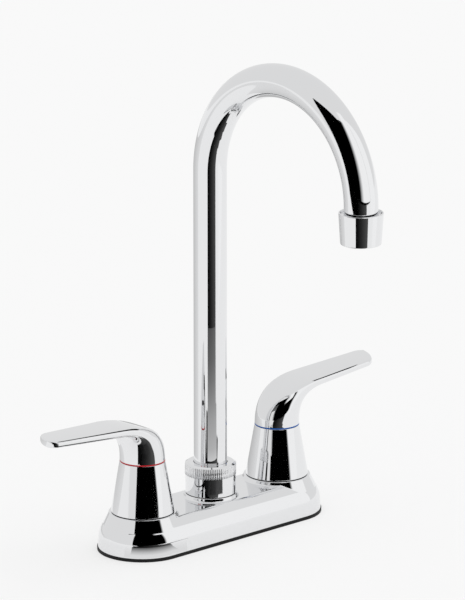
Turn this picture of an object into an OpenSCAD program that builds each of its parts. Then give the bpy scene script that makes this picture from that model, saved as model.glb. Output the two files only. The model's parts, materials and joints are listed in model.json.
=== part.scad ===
// Gooseneck bar faucet: a two-handle centreset tap on a 4 inch base.
// All sizes are in millimetres. The deck is the plane z = 0, the spout turns
// about the Z axis, its outlet points to -Y (the user), hot is at -X and cold at +X.

/* [Base] */
// Distance between the hot and the cold valve
handle_spacing = 101.6; // [90:0.1:125]
// Width of the base across its lower edge
base_w = 49.7; // [46:0.1:64]
// Height of the flat top of the base above the deck
base_h = 19.8; // [19:0.1:25]
// Radius of the rounded flank between the wall and the top
flank_r = 13.8; // [12:0.1:16]
// Height at which the drafted wall turns into the rounded flank
flank_z = 8; // [6:0.5:9]
// Draft of the wall in degrees
wall_draft = 4; // [1:0.5:6]
// Radius of the crest where the flank meets the flat top
crest_r = 1.2; // [0.6:0.1:2]
// Wall thickness of the base shell
shell_t = 2.4; // [1.8:0.1:3]
// Height of the round collars above the flat top
collar_h = 2; // [1:0.1:3]
// How far the top of a valve's collar stands out past the skirt above it
collar_lip = 1; // [0.7:0.05:2]
// Slope of a valve's collar in degrees from upright
collar_draft = 26; // [15:1:30]
// How far the top of the middle collar stands out past the nut above it
spout_collar_lip = 0.35; // [0.25:0.05:1]
// Slope of the middle collar in degrees from upright
spout_collar_draft = 18; // [10:1:25]
// Radius of the hollow fillet at the foot of a valve's collar
collar_fillet = 1.2; // [0.8:0.1:2.5]
// Radius of a collar's upper edge
collar_edge = 0.5; // [0.3:0.1:0.9]
// Thickness of the rubber gasket under the base
gasket_t = 1.8; // [1:0.1:3]
// How far the gasket shows past the wall
gasket_proud = 0.35; // [0:0.05:1]

/* [Spout] */
// Outer diameter of the spout tube
tube_d = 18.5; // [16:0.1:20]
// Wall thickness of the spout tube
tube_t = 1; // [0.7:0.1:1.5]
// Radius of the gooseneck bend, on the tube's centre line
bend_r = 59; // [45:0.5:80]
// Height of the bend's centre above the deck
bend_z = 206.5; // [120:0.5:320]
// Gap between the tube and the hole of the knurled nut
tube_gap = 0.2; // [0.1:0.05:0.4]

/* [Spout nut] */
// Wall of the hub that the nut screws on
hub_wall = 2.7; // [2.2:0.1:4]
// Wall of the knurled nut
nut_wall = 1.95; // [1.5:0.05:3]
// Height of the knurled nut
nut_h = 17.5; // [17.3:0.1:22]
// Height of its knurled band
knurl_h = 6.9; // [4:0.1:9]
// Number of ribs on the knurled band
knurl_n = 72; // [36:1:90]
// Height of a rib
knurl_depth = 0.3; // [0.2:0.05:0.5]
// Thickness of the nut's upper lip
nut_lip = 2.35; // [1.5:0.05:3]

/* [Aerator] */
// Wall of the aerator shell at its upper rim
aerator_wall = 1.25; // [0.9:0.05:2]
// How much smaller the shell's radius is at its lower edge
aerator_taper = 1.1; // [0:0.05:1.2]
// Height of the aerator shell
aerator_h = 17.3; // [16.5:0.1:20]
// Distance from the bend's centre down to the shell's upper rim
aerator_drop = 2; // [1:0.5:40]
// Wall of the threaded fitting on the spout's outlet
outlet_wall = 1.6; // [1.3:0.1:2.5]

/* [Handles] */
// Room between the bonnet nut and the skirt, at the skirt's lower edge
skirt_room = 2.95; // [1.5:0.05:6]
// Diameter of a handle skirt at its upper edge
skirt_d_top = 25.2; // [24.5:0.1:27]
// Height of a handle skirt
skirt_h = 28.7; // [27:0.1:34]
// Wall thickness of a handle skirt
skirt_t = 1.8; // [1.2:0.1:2]
// Height of the coloured index ring
ring_h = 0.7; // [0.5:0.1:1.5]
// Reach of a lever from its turning axis to the tip
lever_reach = 73; // [60:0.5:95]
// Width of a lever where it leaves the neck
lever_root_w = 24.2; // [23:0.1:25]
// Width of a lever at the tip
lever_tip_w = 19.2; // [14:0.1:22]
// Thickness of a lever where it leaves the neck
lever_root_t = 3.8; // [3:0.1:5]
// Thickness of a lever at the tip
lever_tip_t = 3.4; // [2.6:0.1:3.8]
// Height of the lever's top over the lower edge of its neck, at the root
lever_rise = 23.5; // [22:0.1:30]
// Rise of the lever from the root to the tip
lever_slope = 2.8; // [0:0.1:8]
// Radius of the tip's leading corner, seen from above
lever_corner = 4; // [2:0.5:6]
// Length over which the tip's other side sweeps in, seen from above
lever_sweep = 11; // [8:0.5:16]

/* [Valves] */
// Bore of a valve barrel
barrel_bore = 18.2; // [16:0.1:22]
// Wall of a valve barrel
barrel_wall = 1.9; // [1.5:0.1:3]
// Outer diameter of the threaded inlet shanks
shank_d = 20.9; // [18:0.1:22]
// Wall of the inlet shanks
shank_wall = 4.05; // [2.5:0.05:5]
// Length of the inlet shanks below the deck
shank_l = 48; // [40:1:70]
// Length of the thread at a shank's end for the supply nut
supply_thread_l = 22; // [12:1:24]
// Diameter of the valve stems
stem_d = 9.5; // [8:0.1:10]
// Radial gap of a turning fit
run_gap = 0.05; // [0.02:0.01:0.1]
// Deck thickness that the mounting nuts are set to
deck_t = 12; // [1:1:20]

/* [Hidden] */
$fn = 96;
seam = 0.25;                        // hairline gap under the skirts and the nut
face_gap = 0.1;                     // gap between flat faces that turn on each other
thread_gap = 0.05;                  // radial gap of a screw joint
eps = 0.01;

valve_x = handle_spacing / 2;
wall_r = base_w / 2;
wall_top_r = wall_r - (flank_z - gasket_t) * tan(wall_draft);
flank_cx = wall_top_r - flank_r * cos(wall_draft);
flank_cz = flank_z - flank_r * sin(wall_draft);
collar_z = base_h + collar_h;
skirt_z = collar_z + seam;
skirt_top_z = skirt_z + skirt_h;
nut_z = collar_z + seam;
nut_top_z = nut_z + nut_h;

// valve barrels and what stands on them
barrel_r = barrel_bore / 2 + barrel_wall;
floor_z = gasket_t + 2.1;           // floor of the barrel bores
barrel_top_z = collar_z + 5.5;
lock_nut_h = 3.8;
lock_nut_af = 2 * (barrel_r + thread_gap) + 2.9;
bonnet_flange_r = barrel_r + 1.9;
skirt_low_r = bonnet_flange_r + skirt_room + skirt_t;
bonnet_z = collar_z + 4.4;
bonnet_land_h = 5.4;
bonnet_hex_af = 20;
bonnet_hex_h = 4.4;
bonnet_top_z = bonnet_z + bonnet_land_h + bonnet_hex_h;
bonnet_floor_t = 1.8;

// ceramic cartridge, from the floor of the barrel up
cartridge_r = barrel_bore / 2 - thread_gap;
cartridge_flange_r = barrel_r - 0.4;
cartridge_flange_h = 2.35;
cartridge_neck_r = stem_d / 2 + 2.05;
cartridge_top_z = bonnet_top_z + 2.5;
disc_bore_r = cartridge_r - 1.15;
inlet_r = min(shank_d / 2 - shank_wall, disc_bore_r - 1.5);
seal_h = 2;
seal_z = floor_z;
disc_h = 2.3;
fixed_disc_z = seal_z + seal_h;
moving_disc_z = fixed_disc_z + disc_h + run_gap;
disc_port_r = disc_bore_r - 1.6;
disc_hub_r = 2;
foot_z = moving_disc_z + disc_h - 0.15 + run_gap;
foot_h = 2.4;
foot_r = disc_bore_r - 0.5;
tang_w = 2.6;
tang_l = 2 * foot_r - 5.8;
tang_h = 1.2;
window_z = foot_z - 0.2;
window_h = 2.7;
window_w = 7;

// stem
stem_r = stem_d / 2;
o_ring_t = 1.6;
stem_seal_z = barrel_top_z - 4;
clip_z = cartridge_top_z + face_gap;
clip_h = 0.8;
spline_r = stem_r - 0.75;
spline_depth = 0.35;
spline_n = 20;

// handles
neck_z = skirt_top_z + face_gap + ring_h;   // lower edge of the lever's neck
neck_r = skirt_d_top / 2 - 0.05;
ring_z = skirt_top_z + face_gap;
ring_t = 1.2;                       // radial thickness of the index ring
spigot_r = neck_r - 2.25;
spigot_z = skirt_top_z - 3.2;
socket_r = spigot_r - 1.75;                    // bore in the lever for the spline adapter
socket_top_z = neck_z + 9.4;
adapter_r = socket_r - thread_gap;
adapter_z = spigot_z + 0.2;
adapter_top_z = socket_top_z - 0.5;
adapter_flat_y = adapter_r - 0.5;
stem_top_z = adapter_top_z - 1;
set_screw_r = 2.4;
set_screw_z = neck_z + 2.9;
set_screw_sink = 0.4;
lever_crown = 0.35;                 // how far the lever's top is domed
lever_edge = 1.3;                   // edge radius of the lever
lever_root_x = 23;                  // where the straight paddle starts

// centre hub and swivel of the spout
tube_r = tube_d / 2;
tube_in_r = tube_r - tube_t;
hub_bore_r = tube_r + 0.35;
hub_r = hub_bore_r + hub_wall;
nut_r = hub_r + nut_wall;
hub_floor_z = gasket_t + 4.2;
hub_top_z = nut_top_z - nut_lip - 4.6;
washer_h = 0.9;
flange_z = hub_top_z + washer_h + face_gap;
flange_h = 1.7;
flange_r = hub_r - 0.4;
upper_washer_z = flange_z + flange_h + face_gap;
upper_washer_h = nut_top_z - nut_lip - upper_washer_z - face_gap / 2;
ferrule_r = hub_bore_r - 0.15;
ferrule_z = 17;
ferrule_bore_r = tube_in_r - 1.95;
ferrule_spigot_l = 6;
spout_seal_zs = [ferrule_z + 2.6, ferrule_z + 8];
seal_groove_w = o_ring_t + 0.3;
tube_z = flange_z + flange_h + eps;

// waterway
thread_relief = 1.2;                // undercut above the supply thread
bridge_r = (base_h - shell_t - gasket_t) / 2 - 0.6;
bridge_z = gasket_t + bridge_r + 0.6;
passage_z = bridge_z + 1.4;
passage_r = bridge_r - 3.7;

// outlet
outlet_y = -2 * bend_r;
aerator_top_z = bend_z - aerator_drop;
aerator_z = aerator_top_z - aerator_h;
outlet_r = tube_r + 0.05 + outlet_wall;
aerator_r = outlet_r + aerator_wall;
rim_chamfer = 0.4;
aerator_lip_h = 1.6;
aerator_seat_z = aerator_z + 6.4;
insert_r = outlet_r - 1.1;
insert_flange_h = 1;
aerator_washer_h = 1.25;
fitting_z = aerator_seat_z + insert_flange_h + aerator_washer_h + thread_gap;
fitting_top_z = aerator_top_z - 1.3;
tube_end_z = fitting_z + 0.3;
insert_z = aerator_z + aerator_lip_h + thread_gap;
insert_floor_t = 1.5;
insert_wall = 0.8;
screen_h = 0.4;
screen_r = insert_r - insert_wall - thread_gap;
flow_disc_h = 2.1;
lower_screen_z = insert_z + insert_floor_t + thread_gap;
flow_disc_z = lower_screen_z + screen_h + thread_gap;
upper_screen_z = flow_disc_z + flow_disc_h + thread_gap;

// mounting hardware under the deck
mount_washer_h = 2;
mount_washer_r = 17.5;
mount_nut_h = 10;
mount_nut_flange_h = 2.2;
mount_nut_r = 13.8;
wing_l = 22;
wing_t = 4.5;

chrome = "gainsboro";
brass = "darkgoldenrod";
rubber = "dimgray";
plastic = "whitesmoke";

// ---- helpers ----

// Points along an arc from angle a0 to a1.
function arc(cx, cz, r, a0, a1, n) =
    [for (i = [0:n]) let (a = a0 + (a1 - a0) * i / n) [cx + r * cos(a), cz + r * sin(a)]];

// A point of a cubic curve through p0 and p3, drawn towards p1 and p2.
function cubic(p0, p1, p2, p3, t) =
    pow(1 - t, 3) * p0 + 3 * pow(1 - t, 2) * t * p1 + 3 * (1 - t) * t * t * p2 + pow(t, 3) * p3;

// A star outline for splines and knurls.
function star(r, depth, n) =
    [for (i = [0:2 * n - 1]) let (q = r - (i % 2) * depth) [q * cos(180 * i / n), q * sin(180 * i / n)]];

module ring(z, h, r_out, r_in) {
    translate([0, 0, z])
        difference() {
            cylinder(h = h, r = r_out);
            translate([0, 0, -1])
                cylinder(h = h + 2, r = r_in);
        }
}

module hex(z, h, af) {
    translate([0, 0, z])
        cylinder(h = h, d = af / cos(30), $fn = 6);
}

module o_ring(z, r_out) {
    translate([0, 0, z])
        rotate_extrude()
            translate([r_out - o_ring_t / 2, 0])
                circle(d = o_ring_t, $fn = 24);
}

module at_hot() {
    translate([-valve_x, 0, 0])
        mirror([1, 0, 0])
            children();
}

// The hot lever is the same casting as the cold one, turned half round.
module at_hot_turned() {
    translate([-valve_x, 0, 0])
        rotate([0, 0, 180])
            children();
}

module at_cold() {
    translate([valve_x, 0, 0])
        children();
}

// ---- base ----

// Outline of the base from its spine outwards, drawn in by inset.
function base_profile(inset, z0) =
    let (r = flank_r - inset,
         c = inset > 0 ? 0.4 : crest_r,
         top = base_h - inset,
         turn = asin((top - c - flank_cz) / (r - c)),
         crest_x = flank_cx + (r - c) * cos(turn),
         foot_x = wall_r - inset / cos(wall_draft) + (gasket_t - z0) * tan(wall_draft))
    concat([[foot_x, z0]],
           arc(flank_cx, flank_cz, r, wall_draft, turn, 9),
           arc(crest_x, top - c, c, turn + (90 - turn) / 4, 90, 3));

// A body with round ends: the profile turned round each valve and drawn between them.
module stadium(profile, z0, top) {
    half = concat([[0, z0]], profile, [[0, top]]);
    both = concat(profile, [for (i = [len(profile) - 1:-1:0]) [-profile[i][0], profile[i][1]]]);
    for (side = [-90, 90])
        rotate([0, 0, side])
            translate([0, valve_x, 0])
                rotate_extrude(angle = 180)
                    polygon(half);
    rotate([90, 0, 90])
        linear_extrude(height = handle_spacing, center = true)
            polygon(both);
}

// A round collar whose side slopes out from radius r at its top down into the base.
module collar(r, draft) {
    foot_z = base_h / 2 + 2;
    profile = concat([[0, foot_z], [r + (collar_z - foot_z) * tan(draft), foot_z]],
                     arc(r - collar_edge * (1 - sin(draft)) / cos(draft), collar_z - collar_edge,
                         collar_edge, draft, 90, 4),
                     [[0, collar_z]]);
    rotate_extrude()
        polygon(profile);
}

// The hollow fillet of an end collar, round its outer half where the flank is turned too:
// its ball rolls down the collar's side until it meets the flank.
module collar_fillet_ring(r, draft) {
    start = [r + collar_fillet * cos(draft) - flank_cx, collar_z + collar_fillet * sin(draft) - flank_cz];
    down = [sin(draft), -cos(draft)];
    along = start * down;
    ball = start + down * (-along - sqrt(along * along - start * start + pow(flank_r + collar_fillet, 2)));
    flank_a = atan2(ball[1], ball[0]);
    profile = concat([(flank_r - 1) * [cos(flank_a), sin(flank_a)],
                      ball - (collar_fillet + 1) * [cos(draft), sin(draft)]],
                     [for (i = [0:4])
                         let (a = draft + (flank_a - draft) * i / 4)
                         ball - collar_fillet * [cos(a), sin(a)]]);
    rotate([0, 0, -90])
        rotate_extrude(angle = 180)
            translate([flank_cx, flank_cz])
                polygon(profile);
}

module escutcheon() {
    color(chrome)
        difference() {
            union() {
                stadium(base_profile(0, gasket_t), gasket_t, base_h);
                collar(nut_r + spout_collar_lip, spout_collar_draft);
                for (side = [0, 180])
                    rotate([0, 0, side])
                        translate([valve_x, 0, 0]) {
                            collar(skirt_low_r + collar_lip, collar_draft);
                            collar_fillet_ring(skirt_low_r + collar_lip, collar_draft);
                        }
            }
            translate([0, 0, -eps])
                stadium(base_profile(shell_t, gasket_t), gasket_t, base_h - shell_t);
            for (x = [-valve_x, valve_x])
                translate([x, 0, 0])
                    cylinder(h = collar_z + 1, r = barrel_r + 0.3);
            cylinder(h = collar_z + 1, r = hub_r + 0.3);
        }
}

module base_gasket() {
    color("black")
        difference() {
            union() {
                translate([-valve_x, -wall_r - gasket_proud, 0])
                    cube([handle_spacing, base_w + 2 * gasket_proud, gasket_t]);
                for (x = [-valve_x, valve_x])
                    translate([x, 0, 0])
                        cylinder(h = gasket_t, r = wall_r + gasket_proud);
            }
            for (x = [-valve_x, valve_x])
                translate([x, 0, -1])
                    cylinder(h = gasket_t + 2, r = shank_d / 2 + 0.3);
        }
}

// Cast waterway: two barrels on threaded shanks, a bridge and the spout's hub.
module waterway_body() {
    color(brass)
        difference() {
            union() {
                for (x = [-valve_x, valve_x])
                    translate([x, 0, 0]) {
                        translate([0, 0, gasket_t])
                            cylinder(h = barrel_top_z - gasket_t, r = barrel_r);
                        translate([0, 0, -shank_l])
                            cylinder(h = shank_l + gasket_t + 1, r = shank_d / 2);
                    }
                translate([-valve_x, 0, bridge_z])
                    rotate([0, 90, 0])
                        cylinder(h = handle_spacing, r = bridge_r);
                translate([0, 0, gasket_t])
                    cylinder(h = hub_top_z - gasket_t, r = hub_r);
            }
            for (x = [-valve_x, valve_x])
                translate([x, 0, 0]) {
                    translate([0, 0, floor_z])
                        cylinder(h = barrel_top_z, r = barrel_bore / 2);
                    translate([0, 0, -shank_l - 1])
                        cylinder(h = shank_l + floor_z + 2, r = inlet_r);
                }
            for (x = [-valve_x, valve_x])
                translate([x, 0, 0])
                    ring(supply_thread_l - shank_l, thread_relief, shank_d, shank_d / 2 - 0.8);
            translate([0, 0, hub_floor_z])
                cylinder(h = hub_top_z, r = hub_bore_r);
            translate([-valve_x, 0, passage_z])
                rotate([0, 90, 0])
                    cylinder(h = handle_spacing, r = passage_r);
        }
}

// Brass nut that clamps the base shell down on a barrel.
module lock_nut() {
    color(brass)
        difference() {
            hex(collar_z, lock_nut_h, lock_nut_af);
            translate([0, 0, collar_z - 1])
                cylinder(h = lock_nut_h + 2, r = barrel_r + thread_gap);
        }
}

// Screws on the barrel, holds the cartridge down and carries the skirt.
module bonnet_nut() {
    shoulder_z = barrel_top_z + cartridge_flange_h + thread_gap;
    color(brass)
        difference() {
            union() {
                translate([0, 0, bonnet_z])
                    cylinder(h = bonnet_land_h, r = bonnet_flange_r);
                hex(bonnet_z + bonnet_land_h - 1, bonnet_hex_h + 1, bonnet_hex_af);
            }
            translate([0, 0, bonnet_z - 1])
                cylinder(h = shoulder_z - bonnet_z + 1, r = barrel_r + thread_gap);
            translate([0, 0, bonnet_z])
                cylinder(h = bonnet_top_z, r = cartridge_neck_r + thread_gap);
        }
}

function skirt_radius(z) = skirt_low_r + (skirt_d_top / 2 - skirt_low_r) * (z - skirt_z) / skirt_h;

// Fixed conical cover of a valve, screwed on the bonnet nut.
module skirt() {
    land_low = bonnet_z + 0.4;
    land_high = bonnet_z + bonnet_land_h - 0.2;
    land_r = bonnet_flange_r + thread_gap;
    edge = 0.25;
    profile = [
        [skirt_radius(skirt_z) - skirt_t, skirt_z],
        [skirt_radius(skirt_z) - edge, skirt_z],
        [skirt_radius(skirt_z + edge), skirt_z + edge],
        [skirt_radius(skirt_top_z - edge), skirt_top_z - edge],
        [skirt_radius(skirt_top_z) - edge, skirt_top_z],
        [skirt_radius(skirt_top_z) - skirt_t, skirt_top_z],
        [skirt_radius(land_high) - skirt_t, land_high],
        [land_r, land_high],
        [land_r, land_low],
        [skirt_radius(land_low) - skirt_t, land_low]
    ];
    color(chrome)
        rotate_extrude()
            polygon(profile);
}

// ---- cartridges ----

module cartridge_body() {
    color(plastic)
        difference() {
            union() {
                translate([0, 0, fixed_disc_z - 0.6])
                    cylinder(h = barrel_top_z - fixed_disc_z + 1, r = cartridge_r);
                translate([0, 0, barrel_top_z])
                    cylinder(h = cartridge_flange_h, r = cartridge_flange_r);
                translate([0, 0, barrel_top_z])
                    cylinder(h = cartridge_top_z - barrel_top_z, r = cartridge_neck_r);
            }
            translate([0, 0, fixed_disc_z - 1])
                cylinder(h = foot_z + foot_h + 0.4 - fixed_disc_z + 1, r = disc_bore_r);
            translate([0, 0, fixed_disc_z])
                cylinder(h = cartridge_top_z, r = stem_r + run_gap);
            translate([0, 0, stem_seal_z - 1.3])
                cylinder(h = 2.6, r = stem_r + 0.65);
            translate([-cartridge_r - 1, -window_w / 2, window_z])
                cube([2 * cartridge_r + 2, window_w, window_h]);
        }
}

module seat_seal() {
    color(rubber)
        ring(seal_z, seal_h, disc_bore_r - 0.1, inlet_r + 0.1);
}

// Two sector openings, each nearly a quarter turn wide.
module disc_ports(z, h, turn) {
    for (side = [0, 180])
        rotate([0, 0, turn + side])
            translate([0, 0, z - 1])
                linear_extrude(height = h + 2)
                    polygon(concat(arc(0, 0, disc_port_r, -38, 38, 10), arc(0, 0, disc_hub_r, 30, -30, 4)));
}

module fixed_disc() {
    color("white")
        difference() {
            translate([0, 0, fixed_disc_z])
                cylinder(h = disc_h, r = disc_bore_r - thread_gap);
            disc_ports(fixed_disc_z, disc_h, 0);
        }
}

// Ground disc that the stem turns; its ports stand across the fixed ones when shut.
module moving_disc() {
    h = disc_h - 0.15;
    color("ivory")
        difference() {
            translate([0, 0, moving_disc_z])
                cylinder(h = h, r = foot_r);
            disc_ports(moving_disc_z, h, 90);
            translate([-tang_l / 2 - 0.1, -tang_w / 2 - 0.1, foot_z - tang_h - run_gap - 0.1])
                cube([tang_l + 0.2, tang_w + 0.2, tang_h + 1]);
        }
}

module stem() {
    color(brass)
        difference() {
            union() {
                translate([-tang_l / 2, -tang_w / 2, foot_z - tang_h])
                    cube([tang_l, tang_w, tang_h + 1]);
                translate([0, 0, foot_z])
                    cylinder(h = foot_h, r = foot_r);
                translate([0, 0, foot_z])
                    cylinder(h = adapter_z - 2 - foot_z, r = stem_r);
                translate([0, 0, adapter_z - 3])
                    linear_extrude(height = stem_top_z - adapter_z + 3)
                        polygon(star(spline_r, spline_depth, spline_n));
            }
            ring(stem_seal_z - seal_groove_w / 2, seal_groove_w, stem_r + 1, stem_r + 0.5 - o_ring_t);
            ring(clip_z, clip_h + 0.1, stem_r + 1, spline_r);
        }
}

module stem_o_ring() {
    color(rubber)
        o_ring(stem_seal_z, stem_r + 0.5);
}

// Spring clip that keeps the stem down in its cartridge.
module stem_clip() {
    color("silver")
        difference() {
            ring(clip_z, clip_h, cartridge_neck_r - 0.6, spline_r + thread_gap);
            translate([0, -1.5, clip_z - 1])
                cube([cartridge_neck_r + 1, 3, clip_h + 2]);
        }
}

// ---- handles ----

// Half outline of a rounded rectangle, as [across, up] points counted round from its right side.
function round_rect(w, h, r, crown) =
    let (n = 6)
    [for (q = [0:3], i = [0:n])
        let (a = 90 * q + 90 * i / n,
             sx = (q == 0 || q == 3) ? 1 : -1,
             sy = q < 2 ? 1 : -1,
             x = sx * (w - r) + r * cos(a),
             y = sy * (h - r) + r * sin(a))
        [x, y + (y > 0 ? crown * (1 - pow(x / w, 2)) * y / h : 0)]];

// A section of the lever between a point on its top line and one on its lower line,
// moved sideways by shift.
function lever_section(top, low, half_w, edge, crown, shift = 0) =
    let (mid = (top + low) / 2,
         half_h = norm(top - low) / 2,
         up = (top - low) / norm(top - low),
         r = 0.99 * min(half_w, half_h, edge))
    [for (p = round_rect(half_w, half_h, r, crown))
        [mid[0] + up[0] * p[1], p[0] + shift, mid[1] + up[1] * p[1]]];

// Skin over a row of sections that have the same number of points.
module loft(sections) {
    n = len(sections[0]);
    m = len(sections);
    points = [for (s = sections, p = s) p];
    walls = [for (i = [0:m - 2], j = [0:n - 1])
        let (a = i * n + j,
             b = i * n + (j + 1) % n)
        each [[a, b + n, b], [a, a + n, b + n]]];
    first = [for (j = [0:n - 1]) j];
    last = [for (j = [n - 1:-1:0]) (m - 1) * n + j];
    polyhedron(points = points, faces = concat([first], walls, [last]), convexity = 6);
}

root_top = [lever_root_x, neck_z + lever_rise];
root_low = [lever_root_x + 1, neck_z + lever_rise - lever_root_t];
tip_top = [lever_reach, neck_z + lever_rise + lever_slope];
tip_low = [lever_reach, neck_z + lever_rise + lever_slope - lever_tip_t];
bend_steps = 16;
paddle_steps = 4;
tip_steps = 8;

// The neck starts as a circle and flattens while it bends over into the paddle.
function bend_section(t) =
    let (top = cubic([-neck_r, neck_z], [-neck_r, neck_z + 0.63 * lever_rise],
                     [lever_root_x - 22, root_top[1] - 1.1], root_top, t),
         low = cubic([neck_r, neck_z], [neck_r - 0.3, neck_z + 0.45 * lever_rise],
                     [neck_r, root_low[1] - 0.9], root_low, t),
         half_w = neck_r + (lever_root_w / 2 - neck_r) * t,
         flat = pow(t, 3),
         half_h = norm(top - low) / 2)
    lever_section(top, low, half_w, (1 - flat) * half_h + flat * lever_edge, lever_crown * t);

// Half width of the paddle before its tip.
function paddle_w(x) =
    (lever_root_w + (lever_tip_w - lever_root_w) * (x - lever_root_x) / (lever_reach - lever_root_x)) / 2;

// Edges of the paddle seen from above: a small round corner on one side, a long sweep on the other.
function leading_y(x) =
    let (past = max(0, x - (lever_reach - lever_corner)))
    paddle_w(x) - lever_corner + sqrt(max(0, lever_corner * lever_corner - past * past));
function swept_y(x) =
    let (u = max(0, x - sweep_x) / lever_sweep,
         end_y = lever_tip_w / 2 - lever_corner)
    end_y - (end_y + paddle_w(x)) * pow(1 - pow(u, 1.8), 1 / 1.8);

function paddle_section(x) =
    let (f = (x - lever_root_x) / (lever_reach - lever_root_x),
         top = root_top + (tip_top - root_top) * f,
         low = root_low + (tip_low - root_low) * f)
    lever_section(top, low, (leading_y(x) - swept_y(x)) / 2, lever_edge, lever_crown,
                  (leading_y(x) + swept_y(x)) / 2);

sweep_x = lever_reach - lever_sweep;
lever_sections = concat(
    [for (i = [0:bend_steps]) bend_section(i / bend_steps)],
    [for (i = [1:paddle_steps]) paddle_section(lever_root_x + (sweep_x - lever_root_x) * i / paddle_steps)],
    [for (i = [1:tip_steps]) paddle_section(sweep_x + lever_sweep * sin(84 * i / tip_steps))]);

// The set screw comes in from the side that faces away from the user.
module lever(screw_side) {
    color(chrome)
        difference() {
            union() {
                loft(lever_sections);
                translate([0, 0, ring_z])
                    cylinder(h = neck_z - ring_z + 1, r = neck_r - ring_t - thread_gap);
                translate([0, 0, spigot_z])
                    cylinder(h = neck_z - spigot_z, r = spigot_r);
            }
            translate([0, 0, spigot_z - 1])
                cylinder(h = socket_top_z - spigot_z + 1, r = socket_r);
            translate([0, 0, set_screw_z])
                rotate([-90 * screw_side, 0, 0])
                    cylinder(h = neck_r + 2, r = set_screw_r + thread_gap);
        }
}

module index_ring(tint) {
    color(tint)
        ring(ring_z, ring_h, neck_r, neck_r - ring_t);
}

// Splined insert that joins the lever to the stem.
module spline_adapter() {
    color(plastic)
        difference() {
            translate([0, 0, adapter_z])
                cylinder(h = adapter_top_z - adapter_z, r = adapter_r);
            translate([0, 0, adapter_z - 1])
                linear_extrude(height = adapter_top_z - adapter_z + 2)
                    polygon(star(spline_r + thread_gap, spline_depth, spline_n));
            translate([-adapter_r, adapter_flat_y, adapter_z - 1])
                cube([2 * adapter_r, adapter_r, adapter_top_z - adapter_z + 2]);
        }
}

module set_screw() {
    length = neck_r - set_screw_sink - adapter_flat_y - thread_gap;
    color("dimgray")
        translate([0, adapter_flat_y + thread_gap, set_screw_z])
            rotate([-90, 0, 0])
                difference() {
                    cylinder(h = length, r = set_screw_r);
                    translate([0, 0, length - 2])
                        cylinder(h = 3, d = 2.5 / cos(30), $fn = 6);
                }
}

// ---- spout ----

module spout_nut() {
    rib_z = nut_top_z - knurl_h;
    chamfer = 0.7;
    band_r = nut_r - 0.15;
    color(chrome)
        difference() {
            union() {
                translate([0, 0, nut_z])
                    cylinder(h = nut_h - chamfer, r = band_r);
                translate([0, 0, nut_top_z - chamfer - eps])
                    cylinder(h = chamfer + eps, r1 = band_r, r2 = band_r - 1.5 * chamfer);
                translate([0, 0, rib_z])
                    linear_extrude(height = knurl_h - chamfer)
                        polygon(star(nut_r, knurl_depth, knurl_n));
            }
            translate([0, 0, nut_z - 1])
                cylinder(h = nut_h - nut_lip + 1, r = hub_r + thread_gap);
            translate([0, 0, nut_z])
                cylinder(h = nut_h + 1, r = tube_r + tube_gap);
        }
}

module lower_glide_washer() {
    color(plastic)
        ring(hub_top_z, washer_h, hub_r - 0.1, hub_bore_r + 0.1);
}

module upper_glide_washer() {
    color(plastic)
        ring(upper_washer_z, upper_washer_h, hub_r - 0.1, tube_r + 0.25);
}

// The bend in the plane of the spout, from the riser over to the outlet leg.
module gooseneck(r, extra) {
    translate([0, 0, tube_z - extra])
        cylinder(h = bend_z - tube_z + extra, r = r);
    translate([0, -bend_r, bend_z])
        rotate([90, 0, 90])
            rotate_extrude(angle = 180)
                translate([bend_r, 0])
                    circle(r = r);
    translate([0, outlet_y, tube_end_z - extra])
        cylinder(h = bend_z - tube_end_z + extra, r = r);
}

module spout_tube() {
    color(chrome)
        difference() {
            gooseneck(tube_r, 0);
            gooseneck(tube_in_r, 1);
        }
}

// Turned end of the spout: it carries the seals and the flange that the nut holds down.
module spout_ferrule() {
    color(brass)
        difference() {
            union() {
                translate([0, 0, ferrule_z])
                    cylinder(h = flange_z - ferrule_z + eps, r = ferrule_r);
                translate([0, 0, flange_z])
                    cylinder(h = flange_h, r = flange_r);
                translate([0, 0, flange_z])
                    cylinder(h = flange_h + ferrule_spigot_l, r = tube_in_r - thread_gap);
            }
            translate([0, 0, ferrule_z - 1])
                cylinder(h = flange_z + 20 - ferrule_z, r = ferrule_bore_r);
            for (z = spout_seal_zs)
                ring(z - seal_groove_w / 2, seal_groove_w, ferrule_r + 1, ferrule_r + 0.05 - o_ring_t);
        }
}

module spout_o_rings() {
    color(rubber)
        for (z = spout_seal_zs)
            o_ring(z, ferrule_r + 0.06);
}

module outlet_fitting() {
    color(chrome)
        translate([0, outlet_y, 0])
            ring(fitting_z, fitting_top_z - fitting_z, outlet_r, tube_r + thread_gap);
}

// ---- aerator ----

module aerator_shell() {
    r_low = aerator_r - aerator_taper;
    mouth_r = outlet_r + 0.4;
    profile = [
        [insert_r - 0.7, aerator_z],
        [r_low - rim_chamfer, aerator_z],
        [r_low, aerator_z + rim_chamfer],
        [aerator_r, aerator_top_z - rim_chamfer],
        [aerator_r - rim_chamfer, aerator_top_z],
        [mouth_r, aerator_top_z],
        [mouth_r, aerator_top_z - 1.4],
        [outlet_r + thread_gap, aerator_top_z - 1.8],
        [outlet_r + thread_gap, aerator_seat_z],
        [insert_r + 0.1, aerator_seat_z],
        [insert_r + 0.1, aerator_z + aerator_lip_h],
        [insert_r - 0.7, aerator_z + aerator_lip_h]
    ];
    color(chrome)
        translate([0, outlet_y, 0])
            rotate_extrude()
                polygon(profile);
}

module aerator_washer() {
    color("black")
        translate([0, outlet_y, 0])
            ring(aerator_seat_z + insert_flange_h, aerator_washer_h, outlet_r - 0.2, tube_in_r - 0.4);
}

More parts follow.
